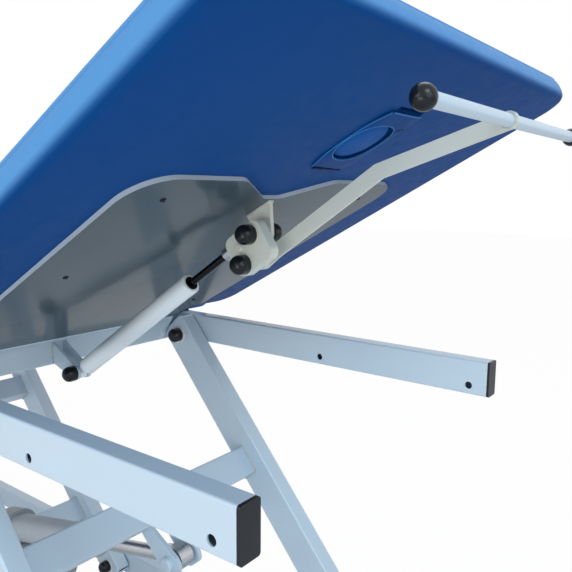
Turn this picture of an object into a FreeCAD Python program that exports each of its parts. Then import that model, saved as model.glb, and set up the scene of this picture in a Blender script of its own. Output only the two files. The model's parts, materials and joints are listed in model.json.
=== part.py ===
"""Electric massage table: a top frame lifted on two pairs of parallel legs, with a raised backrest
held by a gas spring. Millimetres, +Z up, +X towards the head, origin on the floor under the middle.
Each sub-part is drawn in the frame of the body that carries it and then placed by that frame."""
import FreeCAD, Part
import os
import re
import Sketcher

doc = FreeCAD.newDocument("massage_table")
sheet = doc.addObject("Spreadsheet::Sheet", "sizes")
sub_parts = []

# Closeness that picks an edge, and loose first sizes that a sketch's formulas then replace
NEAR = 0.05
LOOSE = 100

# Driving dimensions, in millimetres and degrees
SIZES = {
    # Stance: where the frame stands at rest, with the lift at half height
    "rail_head_x": 842,
    "floor_pivot": 65,
    "leg_span": 740,
    "leg_angle": 49.6,
    "leg_spacing": 720,
    "pivot_back": 583,
    "pivot_drop": 36,

    # Rectangular tube of the rails and crossbars
    "rail_long": 1720,
    "rail_tall": 50,
    "rail_wide": 25,
    "rail_wall": 2,
    "rail_corner": 3,
    "rail_inner": 251,
    "rail_bore": 5.25,
    "bore_first": 26,
    "bore_pitch": 256,
    "bore_drop": 37,
    "hinge_bar_back": 622,
    "mid_bar_back": 1150,
    "cap_lip": 3.5,
    "cap_plug": 16,
    "cap_gap": 0.15,

    # Legs and their ties
    "leg_wide": 60,
    "leg_thick": 30,
    "leg_wall": 2.5,
    "leg_corner": 3,
    "leg_tip": 28,
    "leg_tip_round": 12,
    "leg_inner": 219,
    "tie_tall": 50,
    "tie_thick": 30,
    "tie_wall": 2,
    "tie_shift": 13,
    "upper_tie_up": 449,
    "lower_tie_up": 120,

    # Pivot bolts, bushes and their caps
    "bolt_bore": 8,
    "run_gap": 0.05,
    "bush_wall": 3,
    "bush_flange": 1.6,
    "bush_rim": 16,
    "head_thick": 4,
    "head_rim": 13,
    "head_bevel": 2,
    "nut_round": 10,
    "nut_long": 10,
    "dome_round": 13,
    "dome_long": 18,
    "dome_curve": 8,
    "seat_gap": 0.2,

    # Base and its levelling feet
    "base_past_pivot": 73.4,
    "base_long": 1420,
    "foot_inset": 40,
    "foot_round": 25,
    "foot_pad_tall": 14,
    "foot_stud": 5,
    "foot_stud_long": 66,
    "foot_drop": 40,
    "foot_neck": 9,
    "foot_bevel": 2,
    "foot_slope": 4,

    # Backrest and seat cushions
    "tilt": 28.65,
    "hinge_back": 596,
    "hinge_up": 6,
    "hinge_tube_round": 9,
    "hinge_bolt": 4,
    "hinge_tube_half": 204,
    "hinge_lug_thick": 10,
    "hinge_lug_gap": 0.4,
    "hinge_lug_step": 20,
    "hinge_lug_drop": 16,
    "hinge_thread": 30,
    "hinge_bolt_rim": 3,
    "hinge_bolt_head": 3,
    "under_drop": 4.5,
    "pad_start": 25.7,
    "pad_long": 724,
    "pad_half": 342,
    "pad_thick": 36.5,
    "pad_round": 40,
    "pad_edge": 9,
    "pad_low_edge": 3,
    "board_inset": 5,
    "board_thick": 12,
    "seat_head_back": 606,
    "seat_long": 1184,
    "tape_thick": 1.5,
    "tape_wide": 21,
    "tape_inset": 5,

    # Reinforcement plate under the backrest
    "plate_start": 9,
    "plate_end": 514.7,
    "plate_half": 239,
    "plate_thick": 5,
    "plate_round": 48,
    "relief_end": 58,
    "relief_half": 215,
    "notch_deep": 40,
    "notch_shift": 14,
    "notch_floor": 15,
    "notch_mouth": 85,
    "notch_lip_round": 30,
    "notch_floor_round": 20,

    # Breathing hole, its plug and the strap round it
    "hole_mid": 599.7,
    "hole_side": 6,
    "hole_long": 72,
    "hole_wide": 68,
    "plug_gap": 1,
    "plug_inset": 3,
    "strap_long": 127,
    "strap_wide": 80,
    "strap_thick": 3.5,
    "strap_shift": 6,
    "hole_reach": 20,

    # Gas spring and the head that releases it
    "strut_y": -12,
    "strut_pin_back": 566,
    "strut_pin_drop": 54.6,
    "bolt_reach": 441.2,
    "bolt_drop": 38.6,
    "rod_offset": 7.3,
    "rod_round": 5,
    "rod_inside": 190,
    "rod_stop": 13,
    "cylinder_start": 20,
    "cylinder_end": 303,
    "cylinder_round": 14,
    "cylinder_shoulder": 3,
    "taper_long": 5,
    "taper_deep": 4,
    "rod_spare": 45,
    "guide_end": 304.6,
    "guide_round": 9.5,
    "guide_bevel_long": 0.8,
    "guide_bevel_deep": 0.8,
    "eye_round": 10,
    "eye_thick": 12,
    "eye_pin": 4,
    "eye_neck": 6,
    "eye_neck_thick": 11.2,
    "strut_lug_thick": 5,
    "strut_lug_space": 14.6,
    "lug_round": 11,
    "lug_tip": 10,
    "strut_lug_top": 12.5,
    "cheek_thick": 14.4,
    "cheek_space": 21.6,
    "cheek_back": 41,
    "cheek_front": 19,
    "cheek_low": 38.5,
    "cheek_high": 12.5,
    "cheek_round": 11,
    "rivet_back": 22.5,
    "rivet_drop": 5.5,
    "rivet_round": 6,
    "rivet_proud": 2.5,
    "rivet_dome": 2,
    "boss_round": 8,
    "boss_long": 9.5,
    "link_in": 5.3,
    "link_thick": 6,
    "link_half": 9,
    "link_tip": 8.9,
    "head_bolt": 5,
    "low_bolt_back": 26.8,
    "low_bolt_drop": 25.8,
    "head_cap_round": 12,
    "head_cap_long": 19,
    "head_cap_curve": 10.5,
    "flat_end_round": 8,
    "flat_end_long": 3,
    "flat_end_curve": 1,
    "block_back": 42,
    "block_floor": 1,
    "block_high": 14.3,
    "collar_back": 66,
    "collar_round": 8,
    "tab_thick": 6,
    "tab_shift": 2,
    "tab_front": 28.5,
    "tab_tail": 11.5,
    "tab_round": 10.5,
    "tab_tip": 9.45,
    "release_pin_round": 2,
    "release_pin_proud": 1,
    "release_pin_long": 14,
    "release_pin_room": 3,

    # Release lever and its hand bar
    "arm_wide": 17.5,
    "arm_thick": 5,
    "arm_tip": 8.4,
    "arm_gap": 0.3,
    "knee_out": 22.7,
    "knee_up": 2.2,
    "bend_out": 191.3,
    "bend_up": 4.5,
    "bar_out": 330.3,
    "bar_down": 32.7,
    "bar_round": 6.5,
    "bar_half": 198,
    "bar_y": 22,
    "ball_round": 10.5,
    "ball_mid": 204,

    # Lift actuator between the two pairs of legs
    "rear_pin_up": 210,
    "front_pin_up": 390,
    "act_lug_thick": 6,
    "act_lug_space": 34,
    "act_lug_half": 20,
    "act_lug_tip": 14,
    "act_eye_round": 17,
    "act_eye_thick": 24,
    "act_pin": 6,
    "act_bolt_head": 11,
    "act_bolt_long": 8,
    "act_neck": 11.9,
    "act_neck_sink": 2,
    "act_tube_round": 25,
    "act_tube_start": 34,
    "act_tube_end": 420,
    "act_tube_bore": 16,
    "act_gland": 12,
    "act_stroke_room": 60,
    "act_rod_round": 11,
    "act_rod_start": 330,
    "gear_start": 128,
    "gear_long": 46,
    "gear_low": 96,
    "gear_high": 31,
    "gear_half": 33,
    "gear_edge": 26.4,
    "motor_round": 30,
    "motor_long": 128,
    "motor_drop": 60,
    "motor_edge": 6,

    # Control box under the middle crossbar, with its inlet and rocker
    "box_long": 130,
    "box_wide": 140,
    "box_tall": 60,
    "box_near": 200,
    "box_drop": 2,
    "box_edge": 4,
    "rocker_long": 14,
    "rocker_tall": 24,
    "rocker_deep": 6,
    "rocker_proud": 4,
    "rocker_gap": 0.3,
    "rocker_taper": 2,
    "rocker_dip": 1.5,
    "inlet_wide": 28,
    "inlet_tall": 21,
    "inlet_proud": 3,
    "inlet_deep": 12,
    "inlet_wall": 2.5,
}
for row, (alias, value) in enumerate(SIZES.items(), 1):
    sheet.set(f"A{row}", alias)
    sheet.set(f"B{row}", str(value))
    sheet.setAlias(f"B{row}", alias)
doc.recompute()


def bind(formula):
    """Turn a formula in size names into an expression on the sheet."""
    def named(match):
        word = match.group()
        return f"sizes.{word}" if word in SIZES else word
    return re.sub(r"[a-z][a-z_]+", named, formula)


def amount(alias):
    """Read one driving dimension back from the sheet."""
    return float(sheet.get(alias))


# Places worked out from the driving dimensions, as formulas
RAIL_TOP = "(floor_pivot + leg_span * sin(leg_angle) + pivot_drop)"
HEAD_PIVOT_X = "(rail_head_x - pivot_back + leg_span * cos(leg_angle))"
FOOT_PIVOT_X = "(rail_head_x - pivot_back + leg_span * cos(leg_angle) - leg_spacing)"
HINGE_X = "(rail_head_x - hinge_back)"
HINGE_Z = "(floor_pivot + leg_span * sin(leg_angle) + pivot_drop + hinge_up)"
STRUT_X = "(rail_head_x - strut_pin_back)"
STRUT_Z = "(floor_pivot + leg_span * sin(leg_angle) + pivot_drop - strut_pin_drop)"
BOLT_X = f"({HINGE_X} + bolt_reach * cos(tilt) + bolt_drop * sin(tilt))"
BOLT_Z = f"({HINGE_Z} + bolt_reach * sin(tilt) - bolt_drop * cos(tilt))"
STRUT_RUN = f"({BOLT_X} - {STRUT_X})"
STRUT_RISE = f"({BOLT_Z} - {STRUT_Z})"
STRUT_REACH = f"sqrt({STRUT_RUN}^2 + {STRUT_RISE}^2)"
STRUT_TILT = f"(atan({STRUT_RISE} / {STRUT_RUN}) + asin(rod_offset / {STRUT_REACH}))"
LOW_BOLT_X = f"({BOLT_X} - low_bolt_back * cos{STRUT_TILT} + low_bolt_drop * sin{STRUT_TILT})"
LOW_BOLT_Z = f"({BOLT_Z} - low_bolt_back * sin{STRUT_TILT} - low_bolt_drop * cos{STRUT_TILT})"
PIN_STEP = "(front_pin_up - rear_pin_up)"
REAR_PIN_X = f"({FOOT_PIVOT_X} - rear_pin_up * cos(leg_angle))"
REAR_PIN_Z = "(floor_pivot + rear_pin_up * sin(leg_angle))"
ACT_RUN = f"(leg_spacing - {PIN_STEP} * cos(leg_angle))"
ACT_RISE = f"({PIN_STEP} * sin(leg_angle))"
ACT_REACH = f"sqrt({ACT_RUN}^2 + {ACT_RISE}^2)"
ACT_TILT = f"atan({ACT_RISE} / {ACT_RUN})"

# Frames that sub-parts are drawn in: origin x and z, and how far local x points up
frames = {
    "floor": ("0", "0", "0"),
    "top": ("rail_head_x", RAIL_TOP, "0"),
    "legs_head": (HEAD_PIVOT_X, "floor_pivot", "(90 - leg_angle)"),
    "legs_foot": (FOOT_PIVOT_X, "floor_pivot", "(90 - leg_angle)"),
    "backrest": (HINGE_X, HINGE_Z, "tilt"),
    "strut": (STRUT_X, STRUT_Z, STRUT_TILT),
    "head": (BOLT_X, BOLT_Z, STRUT_TILT),
    "lever": (LOW_BOLT_X, LOW_BOLT_Z, STRUT_TILT),
    "actuator": (REAR_PIN_X, REAR_PIN_Z, ACT_TILT),
}


def place(item, frame, x="0", y="0", z="0"):
    """Seat an object at a local point of one of the frames and turn it with that frame."""
    start_x, start_z, lean = frames[frame]
    item.Placement.Rotation = FreeCAD.Rotation(FreeCAD.Vector(0, 1, 0), 1)
    item.setExpression("Placement.Base.x", bind(f"{start_x} + ({x}) * cos({lean}) - ({z}) * sin({lean})"))
    item.setExpression("Placement.Base.y", bind(f"{y}"))
    item.setExpression("Placement.Base.z", bind(f"{start_z} + ({x}) * sin({lean}) + ({z}) * cos({lean})"))
    item.setExpression("Placement.Rotation.Angle", bind(f"-({lean})"))
    return item


def keep(item, name):
    """Mark an object as a sub-part of the table under its own name."""
    item.Label = name
    sub_parts.append(item)
    return item


def new_body(name):
    return doc.addObject("PartDesign::Body", name)


def sketch_on(body, name, role, offset=None):
    """An empty sketch on one of the body's own origin planes."""
    plane = next(item for item in body.Origin.OriginFeatures if item.Role == role)
    sketch = body.newObject("Sketcher::SketchObject", name)
    sketch.AttachmentSupport = [(plane, "")]
    sketch.MapMode = "FlatFace"
    if offset:
        sketch.setExpression("AttachmentOffset.Base.z", bind(offset))
    return sketch


def hold(sketch, geometry, point, across, along):
    """Tie one point of a sketch to its two formulas, measured from the origin."""
    for kind, formula in (("DistanceX", across), ("DistanceY", along)):
        index = sketch.addConstraint(Sketcher.Constraint(kind, -1, 1, geometry, point, 1.0))
        sketch.setExpression(f"Constraints[{index}]", bind(formula))


def outline(body, name, role, points, offset=None):
    """A closed polygon whose corners are formulas."""
    sketch = sketch_on(body, name, role, offset)
    count = len(points)
    ring = [FreeCAD.Vector(LOOSE, 0, 0)]
    for turn in range(1, count):
        spin = FreeCAD.Rotation(FreeCAD.Vector(0, 0, 1), 360 * turn / count)
        ring.append(spin.multVec(ring[0]))
    for index in range(count):
        sketch.addGeometry(Part.LineSegment(ring[index], ring[(index + 1) % count]), False)
    for index in range(count):
        sketch.addConstraint(Sketcher.Constraint("Coincident", index, 2, (index + 1) % count, 1))
    for index, (across, along) in enumerate(points):
        hold(sketch, index, 1, across, along)
    return sketch


def circles(body, name, role, centres, radius, offset=None):
    """Equal circles whose centres and radius are formulas."""
    sketch = sketch_on(body, name, role, offset)
    axis = FreeCAD.Vector(0, 0, 1)
    for index, (across, along) in enumerate(centres):
        sketch.addGeometry(Part.Circle(FreeCAD.Vector(index * LOOSE, 0, 0), axis, LOOSE / 4), False)
        hold(sketch, index, 3, across, along)
        tie = sketch.addConstraint(Sketcher.Constraint("Radius", index, LOOSE / 4))
        sketch.setExpression(f"Constraints[{tie}]", bind(radius))
    return sketch


def rectangle(half_wide, low, high):
    return [(f"-({half_wide})", low), (half_wide, low), (half_wide, high), (f"-({half_wide})", high)]


def pad(body, sketch, length, both=True, back=False):
    """Extrude a sketch, to both sides of its plane or to one."""
    feature = body.newObject("PartDesign::Pad", "pad")
    feature.Profile = sketch
    feature.setExpression("Length", bind(length))
    feature.Midplane = both
    feature.Reversed = back
    doc.recompute()
    return feature


def pocket(body, sketch, depth=None, back=False):
    """Cut a sketch right through, or to a depth on one side."""
    feature = body.newObject("PartDesign::Pocket", "cut")
    feature.Profile = sketch
    if depth:
        feature.setExpression("Length", bind(depth))
        feature.Reversed = back
    else:
        feature.Type = "ThroughAll"
        feature.Midplane = True
    doc.recompute()
    return feature


def turn(body, sketch, axis):
    feature = body.newObject("PartDesign::Revolution", "turn")
    feature.Profile = sketch
    feature.ReferenceAxis = (sketch, [axis])
    feature.Angle = 360
    doc.recompute()
    return feature


def soften(body, base, radius, wanted, kind="Fillet"):
    """Round or bevel the edges of a feature that a test picks."""
    picked = [f"Edge{number}" for number, edge in enumerate(base.Shape.Edges, 1) if wanted(edge)]
    feature = body.newObject(f"PartDesign::{kind}", kind.lower())
    feature.Base = (base, picked)
    feature.setExpression("Radius" if kind == "Fillet" else "Size", bind(radius))
    doc.recompute()
    return feature


def runs_along(direction):
    """A test for straight edges that lie along one axis."""
    axis = FreeCAD.Vector(*direction)

    def wanted(edge):
        straight = isinstance(edge.Curve, Part.Line)
        return straight and abs(edge.tangentAt(edge.FirstParameter).dot(axis)) > 0.999
    return wanted


def lies_at(axis, place_along):
    """A test for edges whose every point has one coordinate."""
    def wanted(edge):
        box = edge.BoundBox
        low = (box.XMin, box.YMin, box.ZMin)[axis]
        high = (box.XMax, box.YMax, box.ZMax)[axis]
        return abs(low - place_along) < NEAR and abs(high - place_along) < NEAR
    return wanted


def keep_group(name, members):
    """Several like pieces that share one node, each still its own solid."""
    bundle = doc.addObject("Part::Compound", name)
    bundle.Links = members
    return keep(bundle, name)


def tube(name, role, half_wide, low, high, wall, corner, length, direction, offset=None, both=True):
    """A rectangular tube with rounded long edges, open at both ends."""
    body = new_body(name)
    outer = outline(body, "outer", role, rectangle(half_wide, low, high), offset)
    blank = pad(body, outer, length, both)
    rounded = soften(body, blank, corner, runs_along(direction))
    inner_half = f"{half_wide} - {wall}"
    inner = outline(body, "inner", role, rectangle(inner_half, f"{low} + {wall}", f"{high} - {wall}"), offset)
    pocket(body, inner)
    return body, rounded


def turned(name, points, axis_name="V_Axis", role="XY_Plane"):
    """A turned piece, from half of its section."""
    body = new_body(name)
    feature = turn(body, outline(body, "half_section", role, points), axis_name)
    return body, feature


# Top frame: two rails with accessory bores and three crossbars between them
def rail(name, side):
    body, _ = tube(name, "YZ_Plane", "rail_wide/2", "-rail_tall", "0", "rail_wall", "rail_corner",
                   "rail_long", (1, 0, 0), "-rail_long/2")
    centres = [("-bore_first", "-bore_drop"), ("-bore_first - bore_pitch", "-bore_drop")]
    pocket(body, circles(body, "accessory_bores", "XZ_Plane", centres, "rail_bore"))
    pivots = [("-pivot_back", "-pivot_drop"), ("-pivot_back - leg_spacing", "-pivot_drop")]
    pocket(body, circles(body, "pivot_bores", "XZ_Plane", pivots, "bolt_bore + run_gap"))
    place(body, "top", y=f"{side} * (rail_inner + rail_wide/2)")
    return keep(body, name)


def crossbar(name, frame, x, low, wide="rail_wide", tall="rail_tall", wall="rail_wall"):
    """A tube from rail to rail, welded to their inner faces."""
    body, _ = tube(name, "XZ_Plane", f"{wide}/2", "0", tall, wall, "rail_corner",
                   "2 * rail_inner", (0, 1, 0))
    return place(body, frame, x=x, z=low)


def end_cap(name, frame, x, y, low, outward):
    """A plastic plug with a lip, pressed into the end of a rail."""
    body = new_body(name)
    lip = outline(body, "lip", "YZ_Plane", rectangle("rail_wide/2", "0", "rail_tall"))
    plate = pad(body, lip, "cap_lip", both=False, back=outward < 0)
    soften(body, plate, "rail_corner", runs_along((1, 0, 0)))
    inner = rectangle("rail_wide/2 - rail_wall - cap_gap", "rail_wall + cap_gap",
                      "rail_tall - rail_wall - cap_gap")
    pad(body, outline(body, "plug", "YZ_Plane", inner), "cap_plug", both=False, back=outward > 0)
    return place(body, frame, x=x, y=y, z=low)


for side_name, side in (("near", -1), ("far", 1)):
    rail(f"rail_{side_name}", side)

bar_low = "-rail_tall"
keep_group("top_crossbars", [
    crossbar("hinge_bar", "top", "-hinge_bar_back - rail_wide/2", bar_low),
    crossbar("mid_bar", "top", "-mid_bar_back - rail_wide/2", bar_low),
    crossbar("foot_bar", "top", "-rail_long + rail_wide/2", bar_low),
])
RAIL_MID = "(rail_inner + rail_wide/2)"
keep_group("rail_end_caps", [
    end_cap(f"rail_cap_{end}_{side}", "top", at, f"{side} * {RAIL_MID}", "-rail_tall", out)
    for end, at, out in (("head", "0", 1), ("foot", "-rail_long", -1)) for side in (-1, 1)
])


# Base: two floor rails, two crossbars, caps and levelling feet
BASE_LOW = "(floor_pivot - rail_tall/2)"
BASE_HEAD = f"({HEAD_PIVOT_X} + base_past_pivot)"
BASE_FOOT = f"({HEAD_PIVOT_X} + base_past_pivot - base_long)"


def base_rail(name, side):
    body, _ = tube(name, "YZ_Plane", "rail_wide/2", "floor_pivot - rail_tall/2",
                   "floor_pivot + rail_tall/2", "rail_wall", "rail_corner", "base_long", (1, 0, 0),
                   "-base_long/2")
    pivots = [("-base_past_pivot", "floor_pivot"), ("-base_past_pivot - leg_spacing", "floor_pivot")]
    pocket(body, circles(body, "pivot_bores", "XZ_Plane", pivots, "bolt_bore + run_gap"))
    studs = [("-foot_inset", "0"), ("foot_inset - base_long", "0")]
    pocket(body, circles(body, "stud_bores", "XY_Plane", studs, "foot_stud + seat_gap"))
    place(body, "floor", x=BASE_HEAD, y=f"{side} * {RAIL_MID}")
    return keep(body, name)


for side_name, side in (("near", -1), ("far", 1)):
    base_rail(f"base_rail_{side_name}", side)

keep_group("base_crossbars", [
    crossbar("base_head_bar", "floor", f"{BASE_HEAD} - rail_wide/2", BASE_LOW),
    crossbar("base_foot_bar", "floor", f"{BASE_FOOT} + rail_wide/2", BASE_LOW),
])
keep_group("base_end_caps", [
    end_cap(f"base_cap_{end}_{side}", "floor", at, f"{side} * {RAIL_MID}", BASE_LOW, out)
    for end, at, out in (("head", BASE_HEAD, 1), ("foot", BASE_FOOT, -1)) for side in (-1, 1)
])


def level_foot(name, x, side):
    """A rubber foot moulded on a threaded stud."""
    points = [("0", "0"), ("foot_round - foot_bevel", "0"), ("foot_round", "foot_bevel"),
              ("foot_round", "foot_pad_tall - foot_slope"),
              ("foot_neck", "foot_pad_tall"), ("foot_neck", "foot_drop - seat_gap"),
              ("foot_stud", "foot_drop - seat_gap"), ("foot_stud", "foot_stud_long"),
              ("0", "foot_stud_long")]
    body, _ = turned(name, points, role="XZ_Plane")
    place(body, "floor", x=x, y=f"{side} * {RAIL_MID}")
    return keep(body, name)


for end, at in (("head", f"{BASE_HEAD} - foot_inset"), ("foot", f"{BASE_FOOT} + foot_inset")):
    for side_name, side in (("near", -1), ("far", 1)):
        level_foot(f"level_foot_{end}_{side_name}", at, side)


# Legs: two pairs, each tied into a frame by two cross tubes
LEG_MID = "(leg_inner + leg_thick/2)"


def leg(name, frame, side):
    """A flat oval-ended tube with a bush bore at each pivot."""
    body = new_body(name)
    blank = pad(body, outline(body, "outer", "XZ_Plane", rectangle("leg_wide/2", "-leg_tip",
                                                                  "leg_span + leg_tip")), "leg_thick")
    tips = soften(body, blank, "leg_tip_round", runs_along((0, 1, 0)))
    face = amount("leg_thick") / 2
    soften(body, tips, "leg_corner", lambda edge: lies_at(1, face)(edge) or lies_at(1, -face)(edge))
    wall_low, wall_high = "-leg_tip + leg_wall", "leg_span + leg_tip - leg_wall"
    hollow = rectangle("leg_wide/2 - leg_wall", wall_low, wall_high)
    inner = body.newObject("PartDesign::Pocket", "hollow")
    inner.Profile = outline(body, "inner", "XZ_Plane", hollow)
    inner.setExpression("Length", bind("leg_thick - 2 * leg_wall"))
    inner.Midplane = True
    doc.recompute()
    seats = [("0", "0"), ("0", "leg_span")]
    pocket(body, circles(body, "bush_bores", "XZ_Plane", seats, "bolt_bore + run_gap + bush_wall"))
    place(body, frame, y=f"{side} * {LEG_MID}")
    return keep(body, name)


def tie(name, frame, up):
    """A cross tube between the two legs of a pair."""
    body, _ = tube(name, "XZ_Plane", "tie_thick/2", "0", "tie_tall", "tie_wall", "rail_corner",
                   "2 * leg_inner", (0, 1, 0))
    return place(body, frame, x="-tie_shift", z=up)


def bush(name, frame, side, up):
    """A plain bush through the leg, with a rim on each face."""
    bore, wall = "bolt_bore + run_gap", "bolt_bore + run_gap + bush_wall"
    face, rim = "leg_thick/2", "leg_thick/2 + bush_flange"
    points = [(bore, f"-({rim})"), ("bush_rim", f"-({rim})"), ("bush_rim", f"-({face})"),
              (wall, f"-({face})"), (wall, face), ("bush_rim", face), ("bush_rim", rim), (bore, rim)]
    body, _ = turned(name, points)
    return place(body, frame, y=f"{side} * {LEG_MID}", z=up)


def actuator_lug(name, frame, side, pin_up, tie_face, grow):
    """A plate on a tie that carries one end of the actuator."""
    body = new_body(name)
    tip = f"{pin_up} + {grow} * act_lug_half"
    points = [("-tie_shift - tie_thick/2 + rail_corner", tie_face), ("-act_lug_half", pin_up),
              ("-act_lug_half", tip), ("act_lug_half", tip), ("act_lug_half", pin_up),
              ("-tie_shift + tie_thick/2 - rail_corner", tie_face)]
    blank = pad(body, outline(body, "plate", "XZ_Plane", points), "act_lug_thick")
    tip_z = amount(pin_up) + grow * amount("act_lug_half")
    soften(body, blank, "act_lug_tip",
           lambda edge: runs_along((0, 1, 0))(edge) and abs(edge.BoundBox.ZMin - tip_z) < NEAR)
    return place(body, frame, y=f"{side} * (act_lug_space + act_lug_thick)/2")


def legs(end, frame):
    """One pair of legs with its ties and bushes."""
    for side_name, side in (("near", -1), ("far", 1)):
        leg(f"leg_{end}_{side_name}", frame, side)
    keep_group(f"leg_{end}_ties", [tie(f"{end}_upper_tie", frame, "upper_tie_up"),
                                   tie(f"{end}_lower_tie", frame, "lower_tie_up")])
    keep_group(f"leg_{end}_bushes", [bush(f"{end}_bush_{side}_{index}", frame, side, up)
                                     for side in (-1, 1) for index, up in enumerate(("0", "leg_span"))])


legs("head", "legs_head")
legs("foot", "legs_foot")


# Pivot bolts: a button head outside the rail, a nut inside the leg under a domed cap
NUT_FACE = "(leg_inner - bush_flange - seat_gap)"


def pivot_bolt(name, frame, side, x, z):
    out = "rail_inner + rail_wide"
    points = [("0", f"{NUT_FACE} - nut_long"), ("nut_round", f"{NUT_FACE} - nut_long"),
              ("nut_round", NUT_FACE), ("bolt_bore", NUT_FACE), ("bolt_bore", out), ("head_rim", out),
              ("head_rim - head_bevel", f"{out} + head_thick"), ("0", f"{out} + head_thick")]
    body, _ = turned(name, [(r, f"{side} * ({y})") for r, y in points])
    return place(body, frame, x=x, z=z)


def pivot_cap(name, frame, side, x, z):
    """A domed plastic cap over the nut."""
    tip = f"{NUT_FACE} - dome_long"
    wall = "nut_round + seat_gap"
    points = [("0", tip), ("dome_round", tip), ("dome_round", NUT_FACE), (wall, NUT_FACE),
              (wall, f"{NUT_FACE} - nut_long - seat_gap"), ("0", f"{NUT_FACE} - nut_long - seat_gap")]
    body, blank = turned(name, [(r, f"{side} * ({y})") for r, y in points])
    box = blank.Shape.BoundBox
    soften(body, blank, "dome_curve", lies_at(1, box.YMin if side > 0 else box.YMax))
    return place(body, frame, x=x, z=z)


PIVOTS = {
    "upper": ("top", "-pivot_back", "-pivot_back - leg_spacing", "-pivot_drop"),
    "lower": ("floor", HEAD_PIVOT_X, FOOT_PIVOT_X, "floor_pivot"),
}
for level, (frame, head_x, foot_x, up) in PIVOTS.items():
    spots = [(f"{level}_{index}_{side}", frame, side, x, up)
             for index, x in enumerate((head_x, foot_x)) for side in (-1, 1)]
    keep_group(f"{level}_pivot_bolts", [pivot_bolt(f"bolt_{spot[0]}", *spot[1:]) for spot in spots])
    keep_group(f"{level}_pivot_caps", [pivot_cap(f"cap_{spot[0]}", *spot[1:]) for spot in spots])


# Backrest hinge: a tube on the backrest between two lugs on the front crossbar
def hinge_lug(name, side):
    body = new_body(name)
    points = [("-hinge_bar_back", "-rail_tall + rail_corner"),
              ("-hinge_bar_back + hinge_lug_step", "-hinge_lug_drop"),
              ("-hinge_back + hinge_tube_round", "hinge_up"),
              ("-hinge_back + hinge_tube_round/2", "hinge_up + hinge_tube_round"),
              ("-hinge_back - hinge_tube_round/2", "hinge_up + hinge_tube_round"),
              ("-hinge_back - hinge_tube_round", "hinge_up"),
              ("-hinge_back - hinge_tube_round", "-rail_corner"),
              ("-hinge_bar_back", "-rail_corner")]
    pad(body, outline(body, "plate", "XZ_Plane", points), "hinge_lug_thick")
    pocket(body, circles(body, "bore", "XZ_Plane", [("-hinge_back", "hinge_up")], "hinge_bolt + run_gap"))
    return place(body, "top", y=f"{side} * (hinge_tube_half + hinge_lug_gap + hinge_lug_thick/2)")


def hinge_bolt(name, side):
    """A shoulder bolt screwed through the lug into the end of the hinge tube."""
    inner = "hinge_tube_half - hinge_thread"
    face = "hinge_tube_half + hinge_lug_gap + hinge_lug_thick"
    points = [("0", inner), ("hinge_bolt", inner), ("hinge_bolt", face),
              ("hinge_bolt + hinge_bolt_rim", face),
              ("hinge_bolt + hinge_bolt_rim", f"{face} + hinge_bolt_head"),
              ("0", f"{face} + hinge_bolt_head")]
    body, _ = turned(name, [(r, f"{side} * ({y})") for r, y in points])
    return place(body, "top", x="-hinge_back", z="hinge_up")


keep_group("hinge_lugs", [hinge_lug(f"hinge_lug_{side}", side) for side in (-1, 1)])
keep_group("hinge_bolts", [hinge_bolt(f"hinge_bolt_{side}", side) for side in (-1, 1)])

hinge_tube, _ = turned("hinge_tube", [
    ("hinge_bolt + run_gap", "-hinge_tube_half"), ("hinge_tube_round", "-hinge_tube_half"),
    ("hinge_tube_round", "hinge_tube_half"), ("hinge_bolt + run_gap", "hinge_tube_half")])
keep(place(hinge_tube, "backrest"), "hinge_tube")


# Cushions: a plywood board let into the underside of a foam pad
def cushion(prefix, frame, start, length, low, breathing_hole=False):
    """A board and its pad. Local x runs along the cushion."""
    high = f"{low} + pad_thick"
    body = new_body(f"{prefix}_pad_blank")
    plan = [(start, "-pad_half"), (f"{start} + {length}", "-pad_half"),
            (f"{start} + {length}", "pad_half"), (start, "pad_half")]
    blank = pad(body, outline(body, "plan", "XY_Plane", plan, low), "pad_thick", both=False)
    corners = soften(body, blank, "pad_round", runs_along((0, 0, 1)))
    box = corners.Shape.BoundBox
    last = soften(body, corners, "pad_edge", lies_at(2, box.ZMax))
    soften(body, last, "pad_low_edge", lies_at(2, box.ZMin))
    inset = [(f"{start} + board_inset", "-pad_half + board_inset"),
             (f"{start} + {length} - board_inset", "-pad_half + board_inset"),
             (f"{start} + {length} - board_inset", "pad_half - board_inset"),
             (f"{start} + board_inset", "pad_half - board_inset")]
    board = new_body(f"{prefix}_board_blank")
    flat = pad(board, outline(board, "plan", "XY_Plane", inset, low), "board_thick", both=False)
    soften(board, flat, "pad_round - board_inset", runs_along((0, 0, 1)))
    tool = new_body(f"{prefix}_board_room")
    room = pad(tool, outline(tool, "plan", "XY_Plane", inset, low), "board_thick", both=False)
    soften(tool, room, "pad_round - board_inset", runs_along((0, 0, 1)))
    hollowed = doc.addObject("Part::Cut", f"{prefix}_foam")
    hollowed.Base = body
    hollowed.Tool = tool
    if breathing_hole:
        board = pierce(f"{prefix}_pierced_board", board)
        hollowed = pierce(f"{prefix}_pierced_foam", hollowed)
    keep(place(board, frame), f"{prefix}_board")
    keep(place(hollowed, frame), f"{prefix}_pad")


def oval(name, long_way, wide_way, low, tall):
    """An elliptic column at the breathing hole."""
    column = doc.addObject("Part::Ellipse", f"{name}_rim")
    column.setExpression("MajorRadius", bind(f"{long_way}/2"))
    column.setExpression("MinorRadius", bind(f"{wide_way}/2"))
    column.setExpression("Placement.Base.x", bind("hole_mid"))
    column.setExpression("Placement.Base.y", bind("hole_side"))
    column.setExpression("Placement.Base.z", bind(low))
    solid = doc.addObject("Part::Extrusion", name)
    solid.Base = column
    solid.Dir = FreeCAD.Vector(0, 0, 1)
    solid.DirMode = "Custom"
    solid.Solid = True
    solid.setExpression("LengthFwd", bind(tall))
    doc.recompute()
    return solid


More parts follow.
